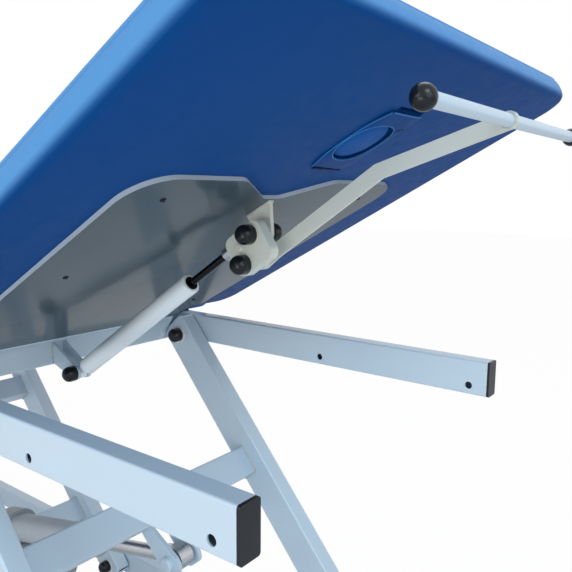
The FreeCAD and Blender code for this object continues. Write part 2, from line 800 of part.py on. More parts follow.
def pierce(name, item):
    """Cut the breathing hole through one layer of the backrest."""
    cut = doc.addObject("Part::Cut", name)
    cut.Base = item
    cut.Tool = oval(f"{name}_tool", "hole_long", "hole_wide", "-under_drop - hole_reach",
                    "pad_thick + 2 * hole_reach")
    doc.recompute()
    return cut


cushion("backrest", "backrest", "pad_start", "pad_long", "-under_drop", breathing_hole=True)
cushion("seat", "top", "-seat_head_back - seat_long", "seat_long", "tape_thick")

plug = oval("hole_plug_column", "(hole_long - 2 * plug_gap)", "(hole_wide - 2 * plug_gap)",
            "-under_drop + plug_inset", "pad_thick - plug_inset")
keep(place(plug, "backrest"), "hole_plug")

strap = new_body("hole_strap_blank")
pad(strap, outline(strap, "plan", "XY_Plane", [
    ("hole_mid - strap_shift - strap_long/2", "hole_side - strap_wide/2"),
    ("hole_mid - strap_shift + strap_long/2", "hole_side - strap_wide/2"),
    ("hole_mid - strap_shift + strap_long/2", "hole_side + strap_wide/2"),
    ("hole_mid - strap_shift - strap_long/2", "hole_side + strap_wide/2")],
    "-under_drop - strap_thick"), "strap_thick", both=False)
keep(place(pierce("hole_strap_ring", strap), "backrest"), "hole_strap")


def tape(name, side):
    """A foam tape on a rail, under the seat board."""
    body = new_body(name)
    half = "tape_wide/2"
    length = "rail_long - seat_head_back - 2 * tape_inset"
    pad(body, outline(body, "section", "YZ_Plane", rectangle(half, "0", "tape_thick")), length,
        both=False, back=True)
    return place(body, "top", x="-seat_head_back - tape_inset", y=f"{side} * {RAIL_MID}")


keep_group("seat_tapes", [tape(f"seat_tape_{side}", side) for side in (-1, 1)])


# Reinforcement plate, with a notch towards the head and reliefs over the leg ends
plate = new_body("reinforcement_plate")
notch_x = "plate_end - notch_deep"
plate_points = [
    ("plate_start", "-relief_half"), ("relief_end", "-relief_half"), ("relief_end", "-plate_half"),
    ("plate_end", "-plate_half"), ("plate_end", "-notch_shift - notch_mouth"),
    (notch_x, "-notch_shift - notch_floor"), (notch_x, "-notch_shift + notch_floor"),
    ("plate_end", "-notch_shift + notch_mouth"), ("plate_end", "plate_half"),
    ("relief_end", "plate_half"), ("relief_end", "relief_half"), ("plate_start", "relief_half")]
plan = pad(plate, outline(plate, "plan", "XY_Plane", plate_points, "-under_drop - plate_thick"),
            "plate_thick", both=False)


def upright_at(x, *sides):
    """A test for upright edges at one x and any of some places across."""
    def wanted(edge):
        box = edge.BoundBox
        upright = box.ZLength > NEAR and box.XLength < NEAR and box.YLength < NEAR
        return upright and abs(box.XMin - x) < NEAR and any(abs(box.YMin - y) < NEAR for y in sides)
    return wanted


end_x = amount("plate_end")
floor_x = end_x - amount("notch_deep")
mid_y = -amount("notch_shift")
plan = soften(plate, plan, "plate_round", upright_at(end_x, -amount("plate_half"), amount("plate_half")))
plan = soften(plate, plan, "notch_lip_round",
              upright_at(end_x, mid_y - amount("notch_mouth"), mid_y + amount("notch_mouth")))
soften(plate, plan, "notch_floor_round",
       upright_at(floor_x, mid_y - amount("notch_floor"), mid_y + amount("notch_floor")))
keep(place(plate, "backrest"), "reinforcement_plate")


# Tab on the plate that carries the top of the gas spring
tab = new_body("strut_tab")
tab_top = "-under_drop - plate_thick"
tab_points = [("bolt_reach - tab_tail", tab_top), ("bolt_reach - tab_round", "-bolt_drop + tab_round/2"),
              ("bolt_reach - tab_round", "-bolt_drop - tab_round"),
              ("bolt_reach + tab_round", "-bolt_drop - tab_round"),
              ("bolt_reach + tab_front", tab_top)]
tab_blank = pad(tab, outline(tab, "plate", "XZ_Plane", tab_points), "tab_thick")
low_edge = -amount("bolt_drop") - amount("tab_round")
soften(tab, tab_blank, "tab_tip",
       lambda edge: runs_along((0, 1, 0))(edge) and abs(edge.BoundBox.ZMin - low_edge) < NEAR)
pocket(tab, circles(tab, "bolt_bore", "XZ_Plane", [("bolt_reach", "-bolt_drop")], "head_bolt + run_gap"))
keep(place(tab, "backrest", y="strut_y + tab_shift"), "strut_tab")


# Gas spring: eye, cylinder, guide and rod on one axis
cylinder, cylinder_blank = turned("gas_cylinder", [
    ("cylinder_start", "0"), ("cylinder_end", "0"), ("cylinder_end", "cylinder_round"),
    ("cylinder_start + taper_long", "cylinder_round"), ("cylinder_start", "cylinder_round - taper_deep")],
    "H_Axis", "XZ_Plane")
soften(cylinder, cylinder_blank, "cylinder_shoulder", lies_at(0, amount("cylinder_end")))
rod_room = circles(cylinder, "rod_room", "YZ_Plane", [("0", "0")], "rod_round + run_gap", "cylinder_end")
pocket(cylinder, rod_room, "cylinder_end - rod_inside + rod_spare")
keep(place(cylinder, "strut", y="strut_y"), "gas_cylinder")

guide, _ = turned("rod_guide", [
    ("cylinder_end", "rod_round + run_gap"), ("guide_end", "rod_round + run_gap"),
    ("guide_end", "guide_round - guide_bevel_deep"), ("guide_end - guide_bevel_long", "guide_round"),
    ("cylinder_end", "guide_round")],
    "H_Axis", "XZ_Plane")
keep(place(guide, "strut", y="strut_y"), "rod_guide")

eye = new_body("strut_eye")
pad(eye, circles(eye, "ring", "XZ_Plane", [("0", "0")], "eye_round"), "eye_thick")
neck = outline(eye, "neck", "XZ_Plane", [("0", "-eye_neck"), ("cylinder_start", "-eye_neck"),
                                         ("cylinder_start", "eye_neck"), ("0", "eye_neck")])
pad(eye, neck, "eye_neck_thick")
pin_half = "strut_lug_space/2 - seat_gap"
pad(eye, circles(eye, "pin", "XZ_Plane", [("0", "0")], "eye_pin"), f"2 * ({pin_half})")
keep(place(eye, "strut", y="strut_y"), "strut_eye")

rod, _ = turned("gas_rod", [
    ("rod_inside", "0"), (f"{STRUT_REACH} - rod_stop - release_pin_long", "0"),
    (f"{STRUT_REACH} - rod_stop - release_pin_long", "release_pin_round + run_gap"),
    (f"{STRUT_REACH} - rod_stop", "release_pin_round + run_gap"),
    (f"{STRUT_REACH} - rod_stop", "rod_round"), ("rod_inside", "rod_round")], "H_Axis", "XZ_Plane")
keep(place(rod, "strut", y="strut_y"), "gas_rod")

release_pin, _ = turned("release_pin", [
    (f"{STRUT_REACH} - rod_stop - release_pin_long + release_pin_room", "0"),
    (f"{STRUT_REACH} - rod_stop + release_pin_proud", "0"),
    (f"{STRUT_REACH} - rod_stop + release_pin_proud", "release_pin_round"),
    (f"{STRUT_REACH} - rod_stop - release_pin_long + release_pin_room", "release_pin_round")],
    "H_Axis", "XZ_Plane")
keep(place(release_pin, "strut", y="strut_y"), "release_pin")


def strut_lug(name, side):
    """A plate on the front crossbar, beside the eye of the gas spring."""
    body = new_body(name)
    pin_x, pin_z = "-strut_pin_back", "-strut_pin_drop"
    low, high, right = f"{pin_z} - lug_round", f"{pin_z} + lug_round", f"{pin_x} + lug_round"
    points = [("-hinge_bar_back", "-rail_tall + rail_corner"), (pin_x, low), (right, low), (right, high),
              (pin_x, high), ("-hinge_bar_back", "-strut_lug_top")]
    blank = pad(body, outline(body, "plate", "XZ_Plane", points), "strut_lug_thick")
    tip_x = -amount("strut_pin_back") + amount("lug_round")
    soften(body, blank, "lug_tip",
           lambda edge: runs_along((0, 1, 0))(edge) and abs(edge.BoundBox.XMin - tip_x) < NEAR)
    return place(body, "top", y=f"strut_y + {side} * (strut_lug_space + strut_lug_thick)/2")


def outer_bolt(name, frame, mid, side, start, head, dome, x="0", z="0", curve="head_cap_curve"):
    """One end of a cross bolt under a domed cap, seated on the outside of a plate."""
    points = [("0", start), (head, start), (head, f"{start} + {dome}"), ("0", f"{start} + {dome}")]
    body, blank = turned(name, [(r, f"{side} * ({y})") for r, y in points])
    box = blank.Shape.BoundBox
    soften(body, blank, curve, lies_at(1, box.YMax if side > 0 else box.YMin))
    return place(body, frame, x=x, y=mid, z=z)


keep_group("strut_lugs", [strut_lug(f"strut_lug_{side}", side) for side in (-1, 1)])
LUG_OUT = "(strut_lug_space/2 + strut_lug_thick)"
keep_group("strut_foot_caps", [
    outer_bolt("strut_foot_cap_near", "top", "strut_y", -1, LUG_OUT, "head_cap_round", "head_cap_long",
               "-strut_pin_back", "-strut_pin_drop"),
    outer_bolt("strut_foot_cap_far", "top", "strut_y", 1, LUG_OUT, "flat_end_round", "flat_end_long",
               "-strut_pin_back", "-strut_pin_drop", "flat_end_curve")])


# Release head: a thick cheek, a link behind the tab, the rod's block, two bolts and their caps
NEAR_OUT = "(cheek_space/2 + cheek_thick)"
FAR_OUT = "(link_in + link_thick)"
BORES = [("0", "0"), ("-low_bolt_back", "-low_bolt_drop")]
cheek = new_body("release_cheek")
cheek_blank = pad(cheek, outline(cheek, "plate", "XZ_Plane", [
    ("-cheek_back", "-cheek_low"), ("cheek_front", "-cheek_low"), ("cheek_front", "cheek_high"),
    ("-cheek_back", "cheek_high")]), "cheek_thick")
soften(cheek, cheek_blank, "cheek_round", runs_along((0, 1, 0)))
rivet = pad(cheek, circles(cheek, "rivet", "XZ_Plane", [("-rivet_back", "-rivet_drop")], "rivet_round",
                           "cheek_thick/2"), "rivet_proud", both=False)
soften(cheek, rivet, "rivet_dome", lies_at(1, rivet.Shape.BoundBox.YMin))
pad(cheek, circles(cheek, "boss", "XZ_Plane", [("0", "0")], "boss_round", "-cheek_thick/2"), "boss_long",
    both=False, back=True)
pocket(cheek, circles(cheek, "bores", "XZ_Plane", BORES, "head_bolt + run_gap"))
place(cheek, "head", y="strut_y - (cheek_space + cheek_thick)/2")

LINK_LONG = "sqrt(low_bolt_back^2 + low_bolt_drop^2)"
LINK_X = f"(link_half * low_bolt_back / {LINK_LONG})"
LINK_Z = f"(link_half * low_bolt_drop / {LINK_LONG})"
link = new_body("release_link")
link_blank = pad(link, outline(link, "plate", "XZ_Plane", [
    (f"{LINK_X} + {LINK_Z}", f"{LINK_Z} - {LINK_X}"), (f"{LINK_X} - {LINK_Z}", f"{LINK_Z} + {LINK_X}"),
    (f"-low_bolt_back - {LINK_X} - {LINK_Z}", f"-low_bolt_drop - {LINK_Z} + {LINK_X}"),
    (f"-low_bolt_back - {LINK_X} + {LINK_Z}", f"-low_bolt_drop - {LINK_Z} - {LINK_X}")]), "link_thick")
soften(link, link_blank, "link_tip", runs_along((0, 1, 0)))
pocket(link, circles(link, "bores", "XZ_Plane", BORES, "head_bolt + run_gap"))
place(link, "head", y="strut_y + link_in + link_thick/2")
keep_group("release_cheeks", [cheek, link])

block = new_body("rod_block")
pad(block, outline(block, "side", "XZ_Plane", [
    ("-block_back", "block_floor"), ("-rod_stop", "block_floor"),
    ("-rod_stop", "block_high"), ("-block_back", "block_high")]), "cheek_space")
pad(block, circles(block, "collar", "YZ_Plane", [("0", "rod_offset")], "collar_round", "-collar_back"),
    "collar_back - block_back", both=False)
bore = circles(block, "rod_bore", "YZ_Plane", [("0", "rod_offset")], "rod_round + run_gap")
pocket(block, bore)
keep(place(block, "head", y="strut_y"), "rod_block")


def head_pin(name, x, z, far_extra):
    """The shank of a cross bolt through the cheek and the link."""
    body = new_body(name)
    points = [("0", f"-{NEAR_OUT}"), ("head_bolt", f"-{NEAR_OUT}"),
              ("head_bolt", f"{FAR_OUT} + {far_extra}"), ("0", f"{FAR_OUT} + {far_extra}")]
    turn(body, outline(body, "half_section", "XY_Plane", points), "V_Axis")
    return place(body, "head", x=x, y="strut_y", z=z)


ARM_ROOM = "(arm_gap + arm_thick + arm_gap)"
LOW_BOLT = ("-low_bolt_back", "-low_bolt_drop")
keep_group("release_bolts", [head_pin("upper_bolt", "0", "0", "0"),
                             head_pin("lower_bolt", *LOW_BOLT, ARM_ROOM)])
keep_group("release_caps", [
    outer_bolt("upper_cap_near", "head", "strut_y", -1, NEAR_OUT, "head_cap_round", "head_cap_long"),
    outer_bolt("upper_cap_far", "head", "strut_y", 1, FAR_OUT, "head_cap_round", "head_cap_long"),
    outer_bolt("lower_cap_near", "head", "strut_y", -1, NEAR_OUT, "head_cap_round", "head_cap_long",
               *LOW_BOLT),
    outer_bolt("lower_cap_far", "head", "strut_y", 1, f"{FAR_OUT} + {ARM_ROOM}", "flat_end_round",
               "flat_end_long", *LOW_BOLT, "flat_end_curve")])


# Release lever: a flat bent arm and a hand bar with a ball at each end
arm = new_body("lever_arm")
half = "arm_wide/2"
arm_top = [("0", half), ("knee_out", f"knee_up + {half}"), ("bend_out", f"bend_up + {half}"),
           ("bar_out", f"-bar_down + {half}"), (f"bar_out + {half}", f"-bar_down + {half}")]
arm_low = [(f"bar_out + {half}", f"-bar_down - {half}"), ("bar_out", f"-bar_down - {half}"),
           ("bend_out", f"bend_up - {half}"), ("knee_out", f"knee_up - {half}"), ("0", f"-{half}"),
           (f"-{half}", f"-{half}"), (f"-{half}", half)]
arm_blank = pad(arm, outline(arm, "plate", "XZ_Plane", arm_top + arm_low), "arm_thick")
arm_left, arm_right = -amount("arm_wide") / 2, amount("bar_out") + amount("arm_wide") / 2
soften(arm, arm_blank, "arm_tip", lambda edge: runs_along((0, 1, 0))(edge) and (
    abs(edge.BoundBox.XMin - arm_left) < NEAR or abs(edge.BoundBox.XMin - arm_right) < NEAR))
pocket(arm, circles(arm, "pivot_bore", "XZ_Plane", [("0", "0")], "head_bolt + run_gap"))
pocket(arm, circles(arm, "bar_bore", "XZ_Plane", [("bar_out", "-bar_down")], "bar_round"))
keep(place(arm, "lever", y=f"strut_y + {FAR_OUT} + arm_gap + arm_thick/2"), "lever_arm")

hand_bar, _ = turned("hand_bar", [("0", "-bar_half"), ("bar_round", "-bar_half"), ("bar_round", "bar_half"),
                                  ("0", "bar_half")])
keep(place(hand_bar, "lever", x="bar_out", y="bar_y", z="-bar_down"), "hand_bar")


def ball(name, side):
    """A ball knob pushed over the end of the hand bar."""
    knob = doc.addObject("Part::Sphere", f"{name}_round")
    knob.setExpression("Radius", bind("ball_round"))
    knob.setExpression("Placement.Base.y", bind(f"{side} * ball_mid"))
    socket = doc.addObject("Part::Cylinder", f"{name}_socket")
    socket.setExpression("Radius", bind("bar_round"))
    socket.setExpression("Height", bind("2 * bar_half"))
    socket.Placement.Rotation = FreeCAD.Rotation(FreeCAD.Vector(1, 0, 0), -90)
    socket.setExpression("Placement.Base.y", bind("-bar_half"))
    cut = doc.addObject("Part::Cut", name)
    cut.Base = knob
    cut.Tool = socket
    doc.recompute()
    return place(cut, "lever", x="bar_out", y="bar_y", z="-bar_down")


keep_group("hand_bar_balls", [ball("near_ball", -1), ball("far_ball", 1)])


# Lift actuator: tube with gearbox and motor on the foot legs, rod on the head legs
tube_body, _ = turned("actuator_tube", [
    ("act_tube_start", "0"), ("act_rod_start - act_stroke_room", "0"),
    ("act_rod_start - act_stroke_room", "act_tube_bore"), ("act_tube_end - act_gland", "act_tube_bore"),
    ("act_tube_end - act_gland", "act_rod_round + run_gap"),
    ("act_tube_end", "act_rod_round + run_gap"), ("act_tube_end", "act_tube_round"),
    ("act_tube_start", "act_tube_round")], "H_Axis", "XZ_Plane")


def actuator_end(body, at, neck_to, pin_long):
    """An eye with its cross pin at one end of the actuator."""
    pad(body, circles(body, "eye", "XZ_Plane", [(at, "0")], "act_eye_round"), "act_eye_thick")
    low, high = "-act_neck", "act_neck"
    pad(body, outline(body, "neck", "XZ_Plane", [(at, low), (neck_to, low), (neck_to, high), (at, high)]),
        "act_eye_thick")
    pad(body, circles(body, "pin", "XZ_Plane", [(at, "0")], "act_pin"), pin_long)


ACT_PIN_LONG = "act_lug_space - 2 * seat_gap"
actuator_end(tube_body, "0", "act_tube_start + act_neck_sink", ACT_PIN_LONG)
keep(place(tube_body, "actuator"), "actuator_tube")

gearbox = new_body("actuator_gearbox")
gear_blank = pad(gearbox, outline(gearbox, "side", "XZ_Plane", [
    ("gear_start", "-gear_low"), ("gear_start + gear_long", "-gear_low"),
    ("gear_start + gear_long", "gear_high"), ("gear_start", "gear_high")]), "2 * gear_half")
soften(gearbox, gear_blank, "gear_edge", runs_along((1, 0, 0)))
pocket(gearbox, circles(gearbox, "tube_room", "YZ_Plane", [("0", "0")], "act_tube_round"))
keep(place(gearbox, "actuator"), "actuator_gearbox")

motor, _ = turned("actuator_motor", [
    ("gear_start + gear_long", "0"), ("gear_start + gear_long + motor_long", "0"),
    ("gear_start + gear_long + motor_long", "motor_round - motor_edge"),
    ("gear_start + gear_long + motor_long - motor_edge", "motor_round"),
    ("gear_start + gear_long", "motor_round")], "H_Axis", "XZ_Plane")
keep(place(motor, "actuator", z="-motor_drop"), "actuator_motor")

act_rod, _ = turned("actuator_rod", [
    ("act_rod_start", "0"), (f"{ACT_REACH} - act_eye_round", "0"),
    (f"{ACT_REACH} - act_eye_round", "act_rod_round"), ("act_rod_start", "act_rod_round")],
    "H_Axis", "XZ_Plane")
actuator_end(act_rod, ACT_REACH, f"{ACT_REACH} - 2 * act_eye_round", ACT_PIN_LONG)
keep(place(act_rod, "actuator"), "actuator_rod")

BRACKETS = {
    "rear": ("legs_foot", "rear_pin_up", "lower_tie_up + tie_tall", 1),
    "front": ("legs_head", "front_pin_up", "upper_tie_up", -1),
}
for end, (frame, pin_up, tie_face, grow) in BRACKETS.items():
    lugs = [actuator_lug(f"{end}_lug_{side}", frame, side, pin_up, tie_face, grow) for side in (-1, 1)]
    bolts = [outer_bolt(f"{end}_bolt_{side}", frame, "0", side, "act_lug_space/2 + act_lug_thick",
                        "act_bolt_head", "act_bolt_long", z=pin_up, curve="head_thick")
             for side in (-1, 1)]
    keep_group(f"actuator_{end}_bracket", lugs + bolts)


# Control box on the middle crossbar, with its inlet and the rocker that raises and lowers the table
box = new_body("control_box")
box_points = [("-mid_bar_back", "-box_near"), ("-mid_bar_back + box_long", "-box_near"),
              ("-mid_bar_back + box_long", "-box_near + box_wide"), ("-mid_bar_back", "-box_near + box_wide")]
box_plan = outline(box, "plan", "XY_Plane", box_points, "-box_drop - box_tall")
soften(box, pad(box, box_plan, "box_tall", both=False), "box_edge", runs_along((0, 0, 1)))
BOX_MID_X = "(-mid_bar_back + box_long/2)"
BOX_MID_Z = "(-box_drop - box_tall/2)"
BOX_MID_Y = "(-box_near + box_wide/2)"
room = outline(box, "rocker_room", "XZ_Plane", [
    (f"{BOX_MID_X} - rocker_long/2 - rocker_gap", f"{BOX_MID_Z} - rocker_tall/2 - rocker_gap"),
    (f"{BOX_MID_X} + rocker_long/2 + rocker_gap", f"{BOX_MID_Z} - rocker_tall/2 - rocker_gap"),
    (f"{BOX_MID_X} + rocker_long/2 + rocker_gap", f"{BOX_MID_Z} + rocker_tall/2 + rocker_gap"),
    (f"{BOX_MID_X} - rocker_long/2 - rocker_gap", f"{BOX_MID_Z} + rocker_tall/2 + rocker_gap")], "box_near")
pocket(box, room, "rocker_deep + rocker_gap")
socket = outline(box, "inlet_room", "YZ_Plane", [
    (f"{BOX_MID_Y} - inlet_wide/2", f"{BOX_MID_Z} - inlet_tall/2"),
    (f"{BOX_MID_Y} + inlet_wide/2", f"{BOX_MID_Z} - inlet_tall/2"),
    (f"{BOX_MID_Y} + inlet_wide/2", f"{BOX_MID_Z} + inlet_tall/2"),
    (f"{BOX_MID_Y} - inlet_wide/2", f"{BOX_MID_Z} + inlet_tall/2")], "-mid_bar_back + box_long")
pocket(box, socket, "inlet_deep")
keep(place(box, "top"), "control_box")

inlet = new_body("control_inlet")
inlet_rim = rectangle("inlet_wide/2", "-inlet_tall/2", "inlet_tall/2")
pad(inlet, outline(inlet, "frame", "YZ_Plane", inlet_rim, "-inlet_deep"), "inlet_deep + inlet_proud",
    both=False)
pocket(inlet, outline(inlet, "mouth", "YZ_Plane", rectangle(
    "inlet_wide/2 - inlet_wall", "-inlet_tall/2 + inlet_wall", "inlet_tall/2 - inlet_wall"), "inlet_proud"),
    "inlet_deep")
keep(place(inlet, "top", x="-mid_bar_back + box_long", y=BOX_MID_Y, z=BOX_MID_Z), "control_inlet")

rocker = new_body("up_down_rocker")
pad(rocker, outline(rocker, "side", "YZ_Plane", [
    ("-rocker_proud", "-rocker_tall/2"), ("rocker_deep/2", "-rocker_tall/2 + rocker_taper"),
    ("rocker_deep", "0"), ("rocker_deep/2", "rocker_tall/2 - rocker_taper"),
    ("-rocker_proud", "rocker_tall/2"), ("-rocker_proud + rocker_dip", "0")]), "rocker_long")
keep(place(rocker, "top", x=BOX_MID_X, y="-box_near", z=BOX_MID_Z), "up_down_rocker")


# Test every object, then write one file per sub-part
doc.recompute()
for item in doc.Objects:
    if "Invalid" in item.State or "Error" in item.State:
        raise RuntimeError(f"{item.Label} did not build: {item.State}")
for item in sub_parts:
    if item.Shape.isNull() or not item.Shape.isValid():
        raise RuntimeError(f"{item.Label} has no valid shape")

os.makedirs("parts", exist_ok=True)
for item in sub_parts:
    item.Shape.exportStep(f"parts/{item.Label}.step")
    box = item.Shape.BoundBox
    print(f"{item.Label}: {len(item.Shape.Solids)} solids, x {box.XMin:.1f} to {box.XMax:.1f}, "
          f"y {box.YMin:.1f} to {box.YMax:.1f}, z {box.ZMin:.1f} to {box.ZMax:.1f}")
print(len(sub_parts), "sub-parts")
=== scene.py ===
"""Looks of the electric massage table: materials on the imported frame, soft cushions, and a plain studio."""
import json
import math
import bmesh
import bpy
from mathutils import Matrix, Vector, noise


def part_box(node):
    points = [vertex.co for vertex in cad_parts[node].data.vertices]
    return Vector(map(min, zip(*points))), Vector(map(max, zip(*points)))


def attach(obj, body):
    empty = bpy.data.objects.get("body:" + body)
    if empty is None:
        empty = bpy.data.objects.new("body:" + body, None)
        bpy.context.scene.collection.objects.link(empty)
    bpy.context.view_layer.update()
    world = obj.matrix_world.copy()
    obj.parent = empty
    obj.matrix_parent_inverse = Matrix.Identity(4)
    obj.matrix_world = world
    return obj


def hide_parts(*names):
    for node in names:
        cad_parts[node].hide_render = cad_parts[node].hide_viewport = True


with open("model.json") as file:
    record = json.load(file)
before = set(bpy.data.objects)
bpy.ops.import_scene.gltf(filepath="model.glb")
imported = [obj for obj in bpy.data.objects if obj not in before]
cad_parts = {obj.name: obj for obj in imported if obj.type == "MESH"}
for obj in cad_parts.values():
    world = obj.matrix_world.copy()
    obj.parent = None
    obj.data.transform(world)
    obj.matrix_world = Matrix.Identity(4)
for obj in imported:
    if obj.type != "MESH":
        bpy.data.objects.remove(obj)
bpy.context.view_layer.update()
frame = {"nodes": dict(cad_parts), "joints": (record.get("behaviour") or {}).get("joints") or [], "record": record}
MM = 0.001

# Places taken from the frame: the backrest's hinge and slope, and the rails' head ends
JOINTS = {joint["name"]: joint for joint in frame["joints"]}
HINGE = Vector(JOINTS["backrest_tilt"]["pos_m"])
UP_SLOPE_NORMAL = Vector(JOINTS["plug_lift"]["axis"])
TILT = math.atan2(-UP_SLOPE_NORMAL.x, UP_SLOPE_NORMAL.z)
RAIL_HEAD_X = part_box("rail_near")[1].x
RAIL_TOP_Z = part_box("rail_near")[1].z


def backrest_point(along, across, up):
    """A point from millimetres along the slope, across it and off it, measured from the hinge."""
    x = along * math.cos(TILT) - up * math.sin(TILT)
    z = along * math.sin(TILT) + up * math.cos(TILT)
    return HINGE + Vector((x, across, z)) * MM


def backrest_frame():
    """The same as a matrix, for pieces that are modelled flat in millimetres."""
    turn = Matrix.Rotation(-TILT, 4, "Y")
    return Matrix.Translation(HINGE) @ turn @ Matrix.Scale(MM, 4)


def top_frame():
    """Millimetres from the rails' head ends and tops."""
    return Matrix.Translation(Vector((RAIL_HEAD_X, 0, RAIL_TOP_Z))) @ Matrix.Scale(MM, 4)


# Materials
def linear(red, green, blue):
    """A colour given as 8-bit screen values, in linear light."""
    def one(value):
        value /= 255
        return value / 12.92 if value <= 0.04045 else ((value + 0.055) / 1.055) ** 2.4
    return (one(red), one(green), one(blue), 1)


class Finish:
    """A material with a few helpers for its nodes."""

    def __init__(self, name):
        self.material = bpy.data.materials.new(name)
        self.material.use_nodes = True
        self.nodes = self.material.node_tree.nodes
        self.links = self.material.node_tree.links
        self.shader = self.nodes["Principled BSDF"]
        self.coordinates = self.nodes.new("ShaderNodeTexCoord")
        self.place = self.coordinates.outputs["Object"]

    def set(self, **sockets):
        for name, value in sockets.items():
            self.shader.inputs[name.replace("_", " ")].default_value = value
        return self

    def noise(self, scale, detail=4, rough=0.55, stretch=None):
        texture = self.nodes.new("ShaderNodeTexNoise")
        texture.inputs["Scale"].default_value = scale
        texture.inputs["Detail"].default_value = detail
        texture.inputs["Roughness"].default_value = rough
        source = self.place
        if stretch:
            mapping = self.nodes.new("ShaderNodeMapping")
            mapping.inputs["Scale"].default_value = stretch
            self.links.new(source, mapping.inputs["Vector"])
            source = mapping.outputs["Vector"]
        self.links.new(source, texture.inputs["Vector"])
        return texture.outputs["Fac"]

    def cells(self, scale):
        texture = self.nodes.new("ShaderNodeTexVoronoi")
        texture.feature = "DISTANCE_TO_EDGE"
        texture.inputs["Scale"].default_value = scale
        self.links.new(self.place, texture.inputs["Vector"])
        return texture.outputs["Distance"]

    def ramp(self, source, stops):
        ramp = self.nodes.new("ShaderNodeValToRGB")
        elements = ramp.color_ramp.elements
        while len(elements) < len(stops):
            elements.new(0.5)
        for element, (position, colour) in zip(elements, stops):
            element.position = position
            element.color = colour if hasattr(colour, "__len__") else (colour, colour, colour, 1)
        self.links.new(source, ramp.inputs["Fac"])
        return ramp.outputs["Color"]

    def colour(self, source, stops):
        self.links.new(self.ramp(source, stops), self.shader.inputs["Base Color"])
        return self

    def tint(self, share, colour):
        """Lay a second colour over the first by a share from 0 to 1."""
        base = self.shader.inputs["Base Color"]
        mix = self.nodes.new("ShaderNodeMix")
        mix.data_type = "RGBA"
        self.links.new(share, mix.inputs["Factor"])
        self.links.new(base.links[0].from_socket, mix.inputs["A"])
        mix.inputs["B"].default_value = colour
        self.links.new(mix.outputs["Result"], base)
        return self

    def facing(self, direction, low, high):
        """A share that grows as the surface turns to face one direction of the piece's own frame."""
        product = self.nodes.new("ShaderNodeVectorMath")
        product.operation = "DOT_PRODUCT"
        product.inputs[1].default_value = direction
        self.links.new(self.coordinates.outputs["Normal"], product.inputs[0])
        return self.ramp(product.outputs["Value"], [(low, 0), (high, 1)])

    def roughness(self, source, low, high):
        self.links.new(self.ramp(source, [(0.3, low), (0.7, high)]), self.shader.inputs["Roughness"])
        return self

    def bump(self, source, strength, depth_mm, after=None):
        bump = self.nodes.new("ShaderNodeBump")
        bump.inputs["Strength"].default_value = strength
        bump.inputs["Distance"].default_value = depth_mm * MM
        self.links.new(source, bump.inputs["Height"])
        if after:
            self.links.new(after, bump.inputs["Normal"])
        self.links.new(bump.outputs["Normal"], self.shader.inputs["Normal"])
        return bump.outputs["Normal"]


def shade(colour, factor):
    """A colour made lighter or darker by a factor."""
    return tuple(part * factor for part in colour[:3]) + (1,)


def powder_coat(name, colour, rough=(0.3, 0.34), coat=0.25):
    """Off-white powder coat: a faint orange peel, slight colour drift and a clear sheen."""
    look = Finish(name)
    drift = look.noise(6, detail=2)
    look.colour(drift, [(0.2, shade(colour, 0.99)), (0.8, shade(colour, 1.005))])
    look.roughness(look.noise(260, detail=2), *rough)
    look.bump(look.noise(700, detail=1), 0.04, 0.08)
    look.set(Coat_Weight=coat, Coat_Roughness=0.12, IOR=1.5)
    return look.material


def plate_coat(name, colour, painted_light_edge_colour):
    """Grey sheet paint that faintly mirrors what stands before it, with painted light making the cut edges paler.
    """
    look = Finish(name)
    look.colour(look.noise(5, detail=2), [(0.3, shade(colour, 0.96)), (0.7, shade(colour, 1.03))])
    # Painted light: faces turned away from the flat underside, the cut edges, get the paler colour as if lit.
    flat = look.facing((-UP_SLOPE_NORMAL.x, 0, -UP_SLOPE_NORMAL.z), 0.55, 0.75)
    edge_light_share = look.nodes.new("ShaderNodeInvert")
    look.links.new(flat, edge_light_share.inputs["Color"])
    look.tint(edge_light_share.outputs["Color"], painted_light_edge_colour)
    look.roughness(look.noise(20, detail=1), 0.16, 0.2)
    look.set(IOR=1.45, Specular_IOR_Level=0.1, Coat_Weight=0.16, Coat_Roughness=0.05, Coat_IOR=1.5)
    return look.material


def vinyl(name, colour, painted_light_colour=None, rough=(0.34, 0.46)):
    """Upholstery vinyl: fine leather grain, soft sheen and a little unevenness; a given lighter colour is laid on
    the side band as painted light.
    """
    look = Finish(name)
    drift = look.noise(4, detail=2)
    look.colour(drift, [(0.25, shade(colour, 0.95)), (0.75, shade(colour, 1.04))])
    # Painted light: the side band gets a lighter blue, as if it caught more light than the underside.
    if painted_light_colour:
        side = look.nodes.new("ShaderNodeAttribute")
        side.attribute_name = "boxing_light_share"
        look.tint(side.outputs["Fac"], painted_light_colour)
    look.roughness(look.noise(60), *rough)
    broad = look.bump(look.noise(38, detail=4), 0.18, 0.8)
    look.bump(look.cells(950), 0.22, 0.14, after=broad)
    look.set(Sheen_Weight=0.01, Sheen_Roughness=0.4, Specular_IOR_Level=0.025)
    return look.material


def plastic(name, colour, rough=(0.28, 0.38), grain=False, gloss=0.5):
    """Moulded plastic or rubber, smooth or with a fine spark-eroded grain."""
    look = Finish(name)
    look.set(Specular_IOR_Level=gloss)
    look.colour(look.noise(30), [(0.3, shade(colour, 0.85)), (0.7, shade(colour, 1.15))])
    look.roughness(look.noise(120), *rough)
    look.bump(look.noise(1400 if grain else 500, detail=2), 0.25 if grain else 0.05, 0.1)
    return look.material


def metal(name, colour, rough=(0.25, 0.4)):
    """Bare or nitrided steel: a slight drift of tone and fine machining marks."""
    look = Finish(name)
    look.colour(look.noise(25), [(0.3, shade(colour, 0.88)), (0.7, shade(colour, 1.05))])
    look.roughness(look.noise(300), *rough)
    look.bump(look.noise(700), 0.05, 0.1)
    look.set(Metallic=1.0)
    return look.material


